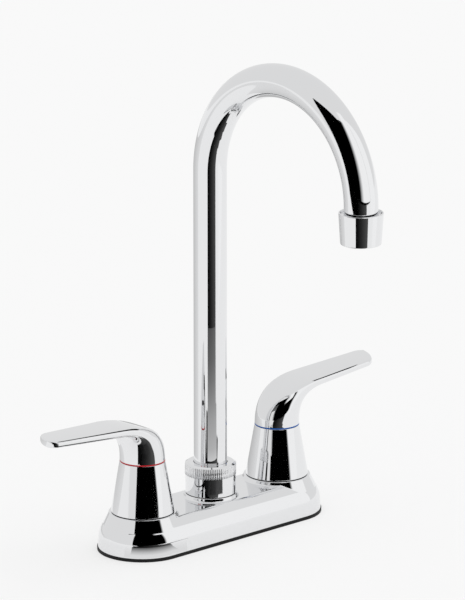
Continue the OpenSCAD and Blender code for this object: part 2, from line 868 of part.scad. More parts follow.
// Round holes in rings about the centre of a disc.
module hole_rings(rings, pitch, hole_r, z, h) {
    for (k = [0:rings], i = [0:max(0, 6 * k - 1)])
        rotate([0, 0, k == 0 ? 0 : 60 * i / k])
            translate([k * pitch, 0, z - 1])
                cylinder(h = h + 2, r = hole_r, $fn = 24);
}

module aerator_insert() {
    color(plastic)
        translate([0, outlet_y, 0])
            difference() {
                union() {
                    translate([0, 0, insert_z])
                        cylinder(h = aerator_seat_z - insert_z + insert_flange_h, r = insert_r);
                    translate([0, 0, aerator_seat_z])
                        cylinder(h = insert_flange_h, r = outlet_r - 0.2);
                }
                translate([0, 0, insert_z + insert_floor_t])
                    cylinder(h = 10, r = insert_r - insert_wall);
                hole_rings(3, 2.3, 0.85, insert_z, insert_floor_t);
            }
}

module aerator_flow_disc() {
    color(plastic)
        translate([0, outlet_y, 0])
            difference() {
                translate([0, 0, flow_disc_z])
                    cylinder(h = flow_disc_h, r = screen_r);
                hole_rings(2, 3, 0.7, flow_disc_z, flow_disc_h);
            }
}

module aerator_screens() {
    color("silver")
        translate([0, outlet_y, 0])
            for (z = [lower_screen_z, upper_screen_z])
                difference() {
                    translate([0, 0, z])
                        cylinder(h = screen_h, r = screen_r);
                    hole_rings(3, 2.4, 0.9, z, screen_h);
                }
}

// ---- mounting hardware ----

module mounting_washer() {
    color("silver")
        ring(-deck_t - mount_washer_h, mount_washer_h, mount_washer_r, shank_d / 2 + 0.4);
}

// Plastic nut with two wings for turning by hand.
module mounting_nut() {
    top_z = -deck_t - mount_washer_h;
    color([0.12, 0.12, 0.13])
        difference() {
            union() {
                translate([0, 0, top_z - mount_nut_flange_h])
                    cylinder(h = mount_nut_flange_h, r = mount_washer_r - 1);
                translate([0, 0, top_z - mount_nut_h])
                    cylinder(h = mount_nut_h, r = mount_nut_r);
                for (side = [0, 180])
                    rotate([0, 0, side])
                        translate([0, 0, top_z - mount_nut_h])
                            linear_extrude(height = mount_nut_h)
                                union() {
                                    translate([0, -wing_t / 2])
                                        square([wing_l - wing_t / 2, wing_t]);
                                    translate([wing_l - wing_t / 2, 0])
                                        circle(d = wing_t, $fn = 32);
                                }
            }
            translate([0, 0, top_z - mount_nut_h - 1])
                cylinder(h = mount_nut_h + 2, r = shank_d / 2 + thread_gap);
        }
}

escutcheon();
base_gasket();
waterway_body();
at_hot() lock_nut();  // hot_lock_nut
at_cold() lock_nut();  // cold_lock_nut
at_hot() bonnet_nut();  // hot_bonnet_nut
at_cold() bonnet_nut();  // cold_bonnet_nut
at_hot() skirt();  // hot_skirt
at_cold() skirt();  // cold_skirt
at_hot() cartridge_body();  // hot_cartridge_body
at_cold() cartridge_body();  // cold_cartridge_body
at_hot() seat_seal();  // hot_seat_seal
at_cold() seat_seal();  // cold_seat_seal
at_hot() fixed_disc();  // hot_fixed_disc
at_cold() fixed_disc();  // cold_fixed_disc
spout_nut();
lower_glide_washer();
upper_glide_washer();
at_hot() mounting_washer();  // hot_mounting_washer
at_cold() mounting_washer();  // cold_mounting_washer
at_hot() mounting_nut();  // hot_mounting_nut
at_cold() mounting_nut();  // cold_mounting_nut
spout_tube();
spout_ferrule();
spout_o_rings();
outlet_fitting();
aerator_shell();
aerator_washer();
aerator_insert();
aerator_flow_disc();
aerator_screens();
at_hot_turned() lever(-1);  // hot_lever
at_hot() index_ring("crimson");  // hot_index_ring
at_hot() spline_adapter();  // hot_spline_adapter
at_hot() set_screw();  // hot_set_screw
at_hot() stem();  // hot_stem
at_hot() moving_disc();  // hot_moving_disc
at_hot() stem_o_ring();  // hot_stem_o_ring
at_hot() stem_clip();  // hot_stem_clip
at_cold() lever(1);  // cold_lever
at_cold() index_ring("royalblue");  // cold_index_ring
at_cold() spline_adapter();  // cold_spline_adapter
at_cold() set_screw();  // cold_set_screw
at_cold() stem();  // cold_stem
at_cold() moving_disc();  // cold_moving_disc
at_cold() stem_o_ring();  // cold_stem_o_ring
at_cold() stem_clip();  // cold_stem_clip
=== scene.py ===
"""Visible model of a gooseneck bar faucet, built round its packed parts.

Every length is in metres. The deck is the plane z = 0, the spout turns about the Z axis,
its outlet points to -Y, the hot valve is at -X and the cold valve at +X.
"""

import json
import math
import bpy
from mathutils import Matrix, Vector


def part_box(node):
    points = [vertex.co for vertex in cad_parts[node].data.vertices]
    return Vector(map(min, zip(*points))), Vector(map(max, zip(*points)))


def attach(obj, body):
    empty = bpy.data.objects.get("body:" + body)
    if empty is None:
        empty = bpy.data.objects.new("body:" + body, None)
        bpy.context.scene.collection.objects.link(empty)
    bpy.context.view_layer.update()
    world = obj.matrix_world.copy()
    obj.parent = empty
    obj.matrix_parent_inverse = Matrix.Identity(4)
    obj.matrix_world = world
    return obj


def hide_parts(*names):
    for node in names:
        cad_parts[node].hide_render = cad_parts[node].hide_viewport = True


bl_info = {
    "name": "Gooseneck bar faucet",
    "version": (1, 0, 0),
    "blender": (4, 5, 0),
    "location": "View3D > Sidebar > Faucet",
    "description": "Builds the visible pieces, finishes and studio of a two-handle bar faucet",
    "category": "Add Mesh",
}

import bpy
import numpy as np
from bpy.props import FloatProperty, FloatVectorProperty, IntProperty, PointerProperty
from mathutils import Vector
from mathutils.geometry import delaunay_2d_cdt

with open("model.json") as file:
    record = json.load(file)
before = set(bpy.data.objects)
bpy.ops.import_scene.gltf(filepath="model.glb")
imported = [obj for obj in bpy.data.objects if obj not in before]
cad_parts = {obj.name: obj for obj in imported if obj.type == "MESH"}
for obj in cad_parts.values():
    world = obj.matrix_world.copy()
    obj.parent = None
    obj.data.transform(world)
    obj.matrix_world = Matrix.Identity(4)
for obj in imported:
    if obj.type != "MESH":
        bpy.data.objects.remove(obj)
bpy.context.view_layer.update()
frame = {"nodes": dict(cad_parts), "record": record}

SIDES = (("hot", -1), ("cold", 1))


# ---- places and sizes read from the frame ----

def low(node):
    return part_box(node)[0]


def high(node):
    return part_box(node)[1]


def radius(node):
    return (high(node).x - low(node).x) / 2


VALVE_X = (low("cold_skirt").x + high("cold_skirt").x) / 2
GASKET_TOP = high("base_gasket").z
COLLAR_TOP = high("escutcheon").z
WALL_R = high("escutcheon").y
TUBE_R = radius("spout_tube")
OUTLET_Y = (low("aerator_shell").y + high("aerator_shell").y) / 2
BEND_R = -OUTLET_Y / 2
BEND_Z = high("spout_tube").z - BEND_R - TUBE_R
VALVE_HOLE_R = radius("hot_bonnet_nut") - 0.0016
HUB_HOLE_R = radius("lower_glide_washer") + 0.0004
NECK_R = radius("cold_index_ring")
NECK_Z = high("cold_index_ring").z
TUBE_WALL = 0.001
NUT_GAP = 0.0002  # between the spout's tube and the lip of its nut
NUT_TOP_CHAMFER = 0.0009
OUTLET_FIT = 0.00005  # gap on either side of the outlet fitting's wall
EDGE = 0.0003  # radius of a turned piece's ordinary edge
FINE_EDGE = 0.0002


def size(name, description, default):
    return FloatProperty(name=name, description=description, default=default, unit="LENGTH", precision=5)


def angle(name, description, degrees):
    return FloatProperty(name=name, description=description, default=math.radians(degrees), subtype="ANGLE")


def share(name, description, default):
    return FloatProperty(name=name, description=description, default=default, subtype="FACTOR", min=0, max=1)


def tint(name, description, default):
    return FloatVectorProperty(name=name, description=description, default=default, subtype="COLOR", min=0, max=1)


class BaseSizes(bpy.types.PropertyGroup):
    """Outline of the oval base and its collars."""

    top: size("Top", "Height of the flat top above the deck", 0.0198)
    flank_radius: size("Flank radius", "Radius of the rounded flank", 0.0138)
    flank_height: size("Flank height", "Height at which the wall turns into the flank", 0.008)
    draft: angle("Draft", "Draft of the wall", 4)
    crest: size("Crest", "Radius where the flank meets the flat top", 0.0012)
    wall: size("Wall", "Wall thickness of the shell", 0.0024)
    valve_lip: size("Valve lip", "How far the top of a valve's collar stands out past its skirt", 0.001)
    valve_slope: angle("Valve collar slope", "Slope of a valve's collar from upright", 26)
    spout_lip: size("Spout lip", "How far the top of the middle collar stands out past the nut", 0.00035)
    spout_slope: angle("Spout collar slope", "Slope of the middle collar from upright", 18)
    collar_edge: size("Collar edge", "Radius of a collar's upper edge", 0.0005)
    fillet: size("Fillet", "Radius of the hollow fillet round a collar", 0.0012)


class LeverSizes(bpy.types.PropertyGroup):
    """Shape of a lever, from its neck to its tip."""

    root_x: size("Root", "Where the straight paddle starts", 0.023)
    rise: size("Rise", "Height of the paddle's root over the neck", 0.0235)
    slope: size("Slope", "Rise from the root to the tip", 0.0028)
    root_width: size("Root width", "Width at the root", 0.0242)
    tip_width: size("Tip width", "Width at the tip", 0.0192)
    root_thick: size("Root thickness", "Thickness at the root", 0.0038)
    tip_thick: size("Tip thickness", "Thickness at the tip", 0.0034)
    corner: size("Corner", "Radius of the tip's leading corner seen from above", 0.004)
    sweep: size("Sweep", "Length over which the tip's other side sweeps in", 0.011)
    edge: size("Edge", "Radius of the lever's long edges", 0.0013)
    crown: size("Crown", "How far the top is domed", 0.00035)


class TrimSizes(bpy.types.PropertyGroup):
    """Skirts, nut, aerator and threads."""

    skirt_top_r: size("Skirt top", "Radius of a skirt at its upper edge", 0.0126)
    skirt_wall: size("Skirt wall", "Wall thickness of a skirt", 0.0018)
    knurl_height: size("Knurl height", "Height of the nut's knurled band", 0.0069)
    knurl_count: IntProperty(name="Knurl ribs", description="Ribs on the knurled band", default=72, min=24)
    rib_radius: size("Rib radius", "Radius of one rib of the knurl", 0.0009)
    aerator_taper: size("Aerator taper", "How much smaller the aerator's radius is below", 0.0011)
    thread_pitch: size("Thread pitch", "Pitch of the shank threads", 0.001814)
    thread_core: size("Thread core", "Radius on which the ridge of a shank's thread winds", 0.01032)
    thread_ridge: size("Thread ridge", "Radius of that ridge", 0.0004)


class Finishes(bpy.types.PropertyGroup):
    """Colours of the finishes."""

    chrome: tint("Chrome", "Polished chrome plate", (0.83, 0.835, 0.845))
    gasket: tint("Gasket", "Black gasket rubber", (0.006, 0.006, 0.0065))
    brass: tint("Brass", "Machined brass", (0.72, 0.53, 0.24))
    hot: tint("Hot ring", "Red index ring", (0.52, 0.012, 0.02))
    cold: tint("Cold ring", "Blue index ring", (0.012, 0.11, 0.42))


class Studio(bpy.types.PropertyGroup):
    """Camera and light."""

    azimuth: angle("Azimuth", "Camera's turn from the front", -43)
    elevation: angle("Elevation", "Camera's height angle", 15.51)
    distance: size("Distance", "Camera to the middle of the riser", 2.8)
    aim_side: size("Aim sideways", "Picture centre beside the riser", 0.01223)
    aim_up: size("Aim up", "Picture centre above the riser's middle", 0.03108)
    lens: FloatProperty(name="Lens", description="Focal length in mm", default=304.1)
    backdrop: share("Backdrop", "Brightness of the background", 0.947)
    card_white: share("Reflected white", "Brightness of the studio in reflections", 0.82)
    paper: share("Paper", "Colour of the floor, which takes the shadow", 0.3)
    paper_glow: share("Paper glow", "The floor's own light, which brings it to the backdrop's brightness", 0.647)
    key: FloatProperty(name="Key light", description="Strength of the soft key light", default=0.7)


# ---- surfaces ----

class Skin:
    """Patches of surface with their true normals, welded into one mesh."""

    def __init__(self):
        self.points, self.normals, self.faces, self.count = [], [], [], 0

    def patch(self, points, normals, faces):
        self.points.append(np.asarray(points, float))
        self.normals.append(np.asarray(normals, float))
        self.faces += [[i + self.count for i in face] for face in faces]
        self.count += len(self.points[-1])

    def grid(self, points, normals):
        rows, columns = points.shape[:2]
        at = np.arange(rows * columns).reshape(rows, columns)
        quads = np.stack([at[:-1, :-1], at[:-1, 1:], at[1:, 1:], at[1:, :-1]], -1).reshape(-1, 4)
        self.patch(points.reshape(-1, 3), normals.reshape(-1, 3), quads.tolist())

    def cap(self, ring, normal):
        self.patch(ring, np.tile(normal, (len(ring), 1)), [list(range(len(ring)))])

    def build(self, name, finish, weld=2e-7):
        points, normals = np.concatenate(self.points), np.concatenate(self.normals)
        normals /= np.maximum(np.linalg.norm(normals, axis=1, keepdims=True), 1e-12)
        spots, first, where = np.unique(
            np.round(points / weld).astype(np.int64), axis=0, return_index=True, return_inverse=True)
        where = where.reshape(-1)
        faces, corners = [], []
        for face in self.faces:
            kept = [i for k, i in enumerate(face) if where[i] != where[face[k - 1]]]
            if len(kept) < 3 or len({where[i] for i in kept}) < len(kept):
                continue
            ring = points[kept]
            turn = np.cross(ring - ring[0], np.roll(ring, -1, axis=0) - ring[0]).sum(axis=0)
            if turn @ normals[kept].sum(axis=0) < 0:
                kept.reverse()
            faces.append([int(where[i]) for i in kept])
            corners += kept
        mesh = bpy.data.meshes.new(name)
        mesh.from_pydata(points[first].tolist(), [], faces)
        mesh.polygons.foreach_set("use_smooth", [True] * len(faces))
        mesh.normals_split_custom_set(normals[corners].tolist())
        return placed(name, mesh, finish)


def placed(name, mesh, finish):
    piece = bpy.data.objects.new(name, mesh)
    bpy.context.scene.collection.objects.link(piece)
    mesh.materials.clear()
    mesh.materials.append(finish)
    return piece


def outline(corners, steps=6):
    """Runs of (r, z, normal r, normal z) round a closed outline. A corner is (r, z) or (r, z, radius)."""
    spots = [np.array(c[:2], float) for c in corners]
    radii = [c[2] if len(c) > 2 else 0 for c in corners]
    area = sum(a[0] * b[1] - b[0] * a[1] for a, b in zip(spots, spots[1:] + spots[:1]))
    out = 1 if area > 0 else -1
    arcs, ends = [], []
    for i, spot in enumerate(spots):
        before, after = spots[i - 1] - spot, spots[(i + 1) % len(spots)] - spot
        before, after = before / np.linalg.norm(before), after / np.linalg.norm(after)
        if not radii[i]:
            ends.append((spot, spot))
            arcs.append(None)
            continue
        half = math.acos(np.clip(before @ after, -1, 1)) / 2
        reach = radii[i] / math.tan(half)
        centre = spot + (before + after) / np.linalg.norm(before + after) * radii[i] / math.sin(half)
        start, stop = spot + before * reach - centre, spot + after * reach - centre
        a0, a1 = math.atan2(start[1], start[0]), math.atan2(stop[1], stop[0])
        a1 = a0 + (a1 - a0 + math.pi) % (2 * math.pi) - math.pi
        bulge = np.sign(np.cross(-before, after)) * out
        arcs.append([(*(centre + radii[i] * np.array([math.cos(a), math.sin(a)])),
                      bulge * math.cos(a), bulge * math.sin(a)) for a in np.linspace(a0, a1, steps + 1)])
        ends.append((centre + start, centre + stop))
    runs = []
    for i in range(len(spots)):
        if arcs[i]:
            runs.append(arcs[i])
        a, b = ends[i][1], ends[(i + 1) % len(spots)][0]
        if np.linalg.norm(b - a) > 1e-7:
            along = (b - a) / np.linalg.norm(b - a)
            side = (along[1] * out, -along[0] * out)
            runs.append([(*a, *side), (*b, *side)])
    return [np.array(run) for run in runs]


def lathe(skin, runs, x=0, y=0, steps=128, start=0, sweep=2 * math.pi):
    """Turns runs of (r, z, normal r, normal z) about the upright axis at (x, y)."""
    angles = start + np.linspace(0, 1, steps + 1) * sweep
    cos, sin = np.cos(angles)[:, None], np.sin(angles)[:, None]
    for run in runs:
        r, z, nr, nz = (column[None, :] for column in np.asarray(run).T)
        level, tilt = np.broadcast_to(z, (len(angles), z.shape[1])), np.broadcast_to(nz, (len(angles), z.shape[1]))
        skin.grid(np.stack([x + r * cos, y + r * sin, level], -1), np.stack([nr * cos, nr * sin, tilt], -1))
    return skin


# ---- the oval base ----

SETTLING_STEPS = 60  # rounds in which the ball of a fillet settles between collar and base
INNER_CREST = 0.0004  # the crest's radius on the underside of the shell


class Section:
    """Cross-section of the base: where its surface lies at a length s along it from the spine outwards."""

    def __init__(self, sizes, inset):
        self.crest = sizes.crest if inset == 0 else INNER_CREST
        self.radius = sizes.flank_radius - inset
        self.top = sizes.top - inset
        self.draft = sizes.draft
        wall_top = WALL_R - (sizes.flank_height - GASKET_TOP) * math.tan(sizes.draft)
        self.x = wall_top - sizes.flank_radius * math.cos(sizes.draft)
        self.z = sizes.flank_height - sizes.flank_radius * math.sin(sizes.draft)
        self.turn = math.asin((self.top - self.crest - self.z) / (self.radius - self.crest))
        self.crest_x = self.x + (self.radius - self.crest) * math.cos(self.turn)
        self.crest_z = self.top - self.crest
        self.s_crest = self.crest_x
        self.s_flank = self.s_crest + self.crest * (math.pi / 2 - self.turn)
        self.s_wall = self.s_flank + self.radius * (self.turn - self.draft)
        low_z = self.z + self.radius * math.sin(self.draft)
        self.s_end = self.s_wall + (low_z - GASKET_TOP) / math.cos(self.draft)

    def at(self, s):
        """(distance, height, normal across, normal up) at lengths s, which may be negative."""
        s = np.asarray(s, float)
        side, far = np.sign(s), np.abs(s)
        on_crest = math.pi / 2 - np.clip((far - self.s_crest) / self.crest, 0, math.pi / 2 - self.turn)
        on_flank = self.turn - np.clip((far - self.s_flank) / self.radius, 0, self.turn - self.draft)
        tilt = np.where(far < self.s_flank, on_crest, on_flank)
        down = np.maximum(far - self.s_wall, 0)
        d = np.where(far < self.s_crest, far, np.where(
            far < self.s_flank, self.crest_x + self.crest * np.cos(tilt),
            self.x + self.radius * np.cos(tilt) + down * math.sin(self.draft)))
        z = np.where(far < self.s_flank, self.crest_z + self.crest * np.sin(tilt),
                     self.z + self.radius * np.sin(tilt) - down * math.cos(self.draft))
        return d * side, z, np.cos(tilt) * side, np.sin(tilt)

    def samples(self):
        marks = (0, self.s_crest, self.s_flank, self.s_wall, self.s_end)
        runs = [np.linspace(a, b, parts + 1)[:-1] for a, b, parts in zip(marks, marks[1:], (13, 8, 24, 4))]
        return np.concatenate([*runs, [self.s_end]])

    def ball(self, d, r):
        """Height of a ball of radius r that rests on the section at distance d, its tilt and contact length."""
        if d <= self.crest_x:
            return self.top + r, math.pi / 2, d
        reach = (self.crest + r) * math.cos(self.turn)
        if d <= self.crest_x + reach:
            tilt = math.acos((d - self.crest_x) / (self.crest + r))
            length = self.s_crest + self.crest * (math.pi / 2 - tilt)
            return self.crest_z + (self.crest + r) * math.sin(tilt), tilt, length
        tilt = math.acos(min(1, (d - self.x) / (self.radius + r)))
        return self.z + (self.radius + r) * math.sin(tilt), tilt, self.s_flank + self.radius * (self.turn - tilt)


def between(a, b, t):
    """Unit directions from a to b along the great circle."""
    angle = math.acos(np.clip(a @ b, -1, 1))
    if angle < 1e-6:
        return np.tile(a, (len(t), 1))
    return (np.sin((1 - t) * angle)[:, None] * a + np.sin(t * angle)[:, None] * b) / math.sin(angle)


def collar_skin(skin, section, sizes, x, r, slope, hole, first, last, steps, turned=False):
    """A sloping collar with its hollow fillet. Returns where the fillet meets the base, as (x, s) points.

    turned says that the base is turned round the collar's own axis here, as at its ends.
    """
    edge, ball = sizes.collar_edge, sizes.fillet
    sin, cos = math.sin(slope), math.cos(slope)
    rim = r - edge * (1 - sin) / cos
    rounds = np.array([(rim + edge * math.cos(a), COLLAR_TOP - edge + edge * math.sin(a), math.cos(a), math.sin(a))
                       for a in np.linspace(math.pi / 2, slope, 9)])
    top_face = np.array([(hole, COLLAR_TOP, 0, 1), (rim, COLLAR_TOP, 0, 1)])
    lathe(skin, [top_face, rounds], x, 0, steps, first, last - first)
    up, contact, walls, wall_normals, bowls, bowl_normals = np.array([0, 0, 1.0]), [], [], [], [], []
    for phi in np.linspace(first, last, steps + 1):
        out = np.array([math.cos(phi), math.sin(phi), 0])
        side = 1 if out[1] >= 0 else -1
        across, reach = (out, 1) if turned else (np.array([0, side, 0]), abs(out[1]))
        z = COLLAR_TOP
        for _ in range(SETTLING_STEPS):
            far = r + (ball - sin * (z - COLLAR_TOP)) / cos
            z, tilt, s = section.ball(far * reach, ball)
        centre = np.array([x, 0, z]) + far * out
        slant = cos * out + sin * up
        top = np.array([x, 0, COLLAR_TOP - edge]) + rim * out + edge * slant
        walls.append([top, centre - ball * slant])
        wall_normals.append([slant, slant])
        rays = between(-slant, -(math.cos(tilt) * across + math.sin(tilt) * up), np.linspace(0, 1, 9))
        bowls.append(centre + ball * rays)
        bowl_normals.append(-rays)
        contact.append((centre[0], side * s))
    skin.grid(np.array(walls), np.array(wall_normals))
    skin.grid(np.array(bowls), np.array(bowl_normals))
    return contact


def inside(loop, spots):
    """Which spots lie inside a closed loop of points."""
    x, y = spots[:, 0:1], spots[:, 1:2]
    a, b = loop, np.roll(loop, -1, axis=0)
    crosses = (a[:, 1] > y) != (b[:, 1] > y)
    rise = np.where(b[:, 1] == a[:, 1], 1e-12, b[:, 1] - a[:, 1])
    return (crosses & (x < (b[:, 0] - a[:, 0]) * (y - a[:, 1]) / rise + a[:, 0])).sum(axis=1) % 2 == 1


def deck_skin(skin, section, hot, middle, cold, pitch=0.0014, clear=0.00025):
    """The stretch of the base between the valves, round the contact lines of its three collars.

    pitch is the spacing of its points, and clear how far they stay from the contact lines.
    """
    half = section.samples()
    rows = np.concatenate([-half[:0:-1], half])
    columns = np.linspace(-VALVE_X, VALVE_X, round(2 * VALVE_X / pitch) + 1)
    hot, middle, cold = (np.array(line) for line in (hot, middle, cold))
    loops = [hot, middle[:-1], cold]
    spots = np.array([(x, s) for x in columns for s in rows])
    keep = np.ones(len(spots), bool)
    for loop in loops:
        keep &= ~inside(loop, spots)
        gap = np.min(np.hypot(*(spots[:, None, :] - loop[None, :, :]).transpose(2, 0, 1)), axis=1)
        keep &= gap > clear
    ends = [(x, s) for x, loop in ((-VALVE_X, hot), (VALVE_X, cold)) for s in rows
            if abs(s) > np.abs(loop[:, 1]).max() - 1e-9]
    spots = np.concatenate([*loops, spots[keep], np.array(ends)])
    joined, at = [], 0
    for k, loop in enumerate(loops):
        joined += [(at + i, at + i + 1) for i in range(len(loop) - 1)]
        if k == 1:
            joined.append((at + len(loop) - 1, at))
        at += len(loop)
    flat, _, faces, _, _, _ = delaunay_2d_cdt([Vector(p / pitch) for p in spots], joined, [], 0, 1e-5)
    flat = np.array([tuple(p) for p in flat]) * pitch
    faces = np.array([f for f in faces if len(f) == 3])
    middles = flat[faces].mean(axis=1)
    good = np.ones(len(faces), bool)
    for loop in loops:
        good &= ~inside(loop, middles)
    d, z, across, up = section.at(flat[:, 1])
    skin.patch(np.stack([flat[:, 0], d, z], -1), np.stack([0 * d, across, up], -1), faces[good].tolist())


def end_skin(skin, section, contact_s, steps):
    """The turned ends of the base, outside their collars' fillets."""
    s = section.samples()
    s = np.concatenate([[contact_s], s[s > contact_s + 1e-6]])
    run = np.stack(section.at(s), -1)
    for side in (-1, 1):
        lathe(skin, [run], side * VALVE_X, 0, steps, (0 if side > 0 else math.pi) - math.pi / 2, math.pi)


def wall_line(section, steps):
    """The lower edge of a section, once round the oval."""
    d = float(section.at(section.s_end)[0])
    turn = np.linspace(-math.pi / 2, math.pi / 2, steps + 1)
    right = [(VALVE_X + d * math.cos(a), d * math.sin(a), GASKET_TOP) for a in turn]
    left = [(-VALVE_X - d * math.cos(a), -d * math.sin(a), GASKET_TOP) for a in turn]
    return np.array(right + left)


def build_base(sizes, finish):
    skin, steps = Skin(), 64
    outer, inner = Section(sizes, 0), Section(sizes, sizes.wall)
    valve_r = radius("hot_skirt") + sizes.valve_lip
    spout_r = radius("spout_nut") + sizes.spout_lip
    quarter = math.pi / 2
    inward = ((-VALVE_X, valve_r, sizes.valve_slope, VALVE_HOLE_R, -quarter, quarter, steps),
              (0, spout_r, sizes.spout_slope, HUB_HOLE_R, 0, 4 * quarter, 2 * steps),
              (VALVE_X, valve_r, sizes.valve_slope, VALVE_HOLE_R, quarter, 3 * quarter, steps))
    lines = [collar_skin(skin, outer, sizes, *collar) for collar in inward]
    for x, first in ((-VALVE_X, quarter), (VALVE_X, -quarter)):
        outward = (x, valve_r, sizes.valve_slope, VALVE_HOLE_R, first, first + math.pi, steps)
        collar_skin(skin, outer, sizes, *outward, turned=True)
    deck_skin(skin, outer, *lines)
    end_skin(skin, outer, abs(lines[0][0][1]), steps)
    holes = []
    for x, _, _, hole, first, last, parts in inward:
        turn = np.linspace(first, last, parts + 1)
        holes.append([(x + hole * math.cos(a), hole * math.sin(a)) for a in turn])
        bore = np.array([(hole, COLLAR_TOP, -1, 0), (hole, inner.top, -1, 0)])
        lathe(skin, [bore], x, 0, steps * 2, first, 2 * math.pi)
    under = Skin()
    deck_skin(under, inner, *holes)
    end_skin(under, inner, VALVE_HOLE_R, steps)
    skin.patch(np.concatenate(under.points), -np.concatenate(under.normals), under.faces)
    rims = np.stack([wall_line(outer, steps), wall_line(inner, steps)])
    rims = np.concatenate([rims, rims[:, :1]], axis=1)
    skin.grid(rims, np.tile([0, 0, -1.0], (*rims.shape[:2], 1)))
    return skin.build("escutcheon_shell", finish)


# ---- spout ----

def sweep_skin(skin, r, z_low, z_end, inward=False, around=72, bends=120):
    """The skin of the gooseneck: riser, half circle and outlet leg."""
    path, across = [(0, 0, z_low)], [(0, 1, 0)]
    for a in np.linspace(0, math.pi, bends + 1):
        path.append((0, -BEND_R + BEND_R * math.cos(a), BEND_Z + BEND_R * math.sin(a)))
        across.append((0, math.cos(a), math.sin(a)))
    path.append((0, OUTLET_Y, z_end))
    across.append((0, -1, 0))
    path, across = np.array(path)[:, None, :], np.array(across, float)[:, None, :]
    turn = np.linspace(0, 2 * math.pi, around + 1)[None, :, None]
    normals = across * np.cos(turn) + np.array([1.0, 0, 0]) * np.sin(turn)
    skin.grid(path + r * normals, -normals if inward else normals)


def build_tube(finish):
    skin = Skin()
    inner = TUBE_R - TUBE_WALL
    z_low, short = low("spout_tube").z, 0.0003
    z_end = low("outlet_fitting").z + short
    sweep_skin(skin, TUBE_R, z_low, z_end)
    sweep_skin(skin, inner, z_low, z_end, inward=True)
    lathe(skin, [np.array([(inner, z_low, 0, -1), (TUBE_R, z_low, 0, -1)])], 0, 0, 72, -math.pi / 2)
    lathe(skin, [np.array([(inner, z_end, 0, -1), (TUBE_R, z_end, 0, -1)])], 0, OUTLET_Y, 72, -math.pi / 2)
    return skin.build("spout_tube_skin", finish, weld=1e-6)


def node_tree(name, finish, inputs):
    """A tree with named inputs that ends in Realize Instances and Set Material.

    Returns the tree, the inputs' identifiers, their sockets and the two nodes that end it.
    """
    tree = bpy.data.node_groups.new(name, "GeometryNodeTree")
    tree.interface.new_socket("Geometry", in_out="OUTPUT", socket_type="NodeSocketGeometry")
    sockets = {label: tree.interface.new_socket(label, in_out="INPUT", socket_type=f"NodeSocket{kind}").identifier
               for label, kind in inputs.items()}
    given = tree.nodes.new("NodeGroupInput").outputs
    real = tree.nodes.new("GeometryNodeRealizeInstances")
    painted = tree.nodes.new("GeometryNodeSetMaterial")
    painted.inputs["Material"].default_value = finish
    tree.links.new(painted.outputs[0], tree.nodes.new("NodeGroupOutput").inputs[0])
    return tree, sockets, given, real, painted


def knurl_tree(finish):
    """Ribs round a circle; its inputs are the ribs' number, radius, height and place."""
    tree, sockets, given, real, painted = node_tree("knurl ribs", finish, {
        "Count": "Int", "Band radius": "Float", "Rib radius": "Float", "Rib height": "Float",
        "Middle height": "Float"})
    circle = tree.nodes.new("GeometryNodeMeshCircle")
    rib = tree.nodes.new("GeometryNodeMeshCylinder")
    rib.inputs["Vertices"].default_value = 10
    spread = tree.nodes.new("GeometryNodeInstanceOnPoints")
    lift = tree.nodes.new("GeometryNodeTransform")
    place = tree.nodes.new("ShaderNodeCombineXYZ")
    smooth = tree.nodes.new("GeometryNodeSetShadeSmooth")
    for a, b in ((given["Count"], circle.inputs["Vertices"]), (given["Band radius"], circle.inputs["Radius"]),
                 (given["Rib radius"], rib.inputs["Radius"]), (given["Rib height"], rib.inputs["Depth"]),
                 (circle.outputs["Mesh"], spread.inputs["Points"]), (rib.outputs["Mesh"], spread.inputs["Instance"]),
                 (given["Middle height"], place.inputs["Z"]), (place.outputs[0], lift.inputs["Translation"]),
                 (spread.outputs[0], lift.inputs[0]), (lift.outputs[0], real.inputs[0]),
                 (real.outputs[0], smooth.inputs[0]), (smooth.outputs[0], painted.inputs[0])):
        tree.links.new(a, b)
    return tree, sockets


def thread_tree(finish):
    """A helical ridge; its inputs are the core's radius, the ridge's, the length, the turns and the place."""
    tree, sockets, given, real, painted = node_tree("shank thread", finish, {
        "Core radius": "Float", "Ridge": "Float", "Length": "Float", "Turns": "Float", "Place": "Vector"})
    spiral = tree.nodes.new("GeometryNodeCurveSpiral")
    spiral.inputs["Resolution"].default_value = 32
    ridge = tree.nodes.new("GeometryNodeCurvePrimitiveCircle")
    ridge.inputs["Resolution"].default_value = 4
    tube = tree.nodes.new("GeometryNodeCurveToMesh")
    tube.inputs["Fill Caps"].default_value = True
    lift = tree.nodes.new("GeometryNodeTransform")
    for a, b in ((given["Core radius"], spiral.inputs["Start Radius"]),
                 (given["Core radius"], spiral.inputs["End Radius"]),
                 (given["Length"], spiral.inputs["Height"]), (given["Turns"], spiral.inputs["Rotations"]),
                 (given["Ridge"], ridge.inputs["Radius"]), (spiral.outputs[0], tube.inputs["Curve"]),
                 (ridge.outputs[0], tube.inputs["Profile Curve"]), (tube.outputs[0], lift.inputs[0]),
                 (given["Place"], lift.inputs["Translation"]), (lift.outputs[0], real.inputs[0]),
                 (real.outputs[0], painted.inputs[0])):
        tree.links.new(a, b)
    return tree, sockets


def grown(name, tree, sockets, finish, values):
    """Runs a geometry node tree once and keeps its result as a plain mesh."""
    seed = placed("seed", bpy.data.meshes.new("seed"), finish)
    modifier = seed.modifiers.new("grow", "NODES")
    modifier.node_group = tree
    for label, value in values.items():
        modifier[sockets[label]] = value
    bpy.context.view_layer.update()
    graph = bpy.context.evaluated_depsgraph_get()
    mesh = bpy.data.meshes.new_from_object(seed.evaluated_get(graph), depsgraph=graph)
    seed.modifiers.remove(modifier)
    bpy.data.objects.remove(seed)
    mesh.name = name
    return placed(name, mesh, finish)


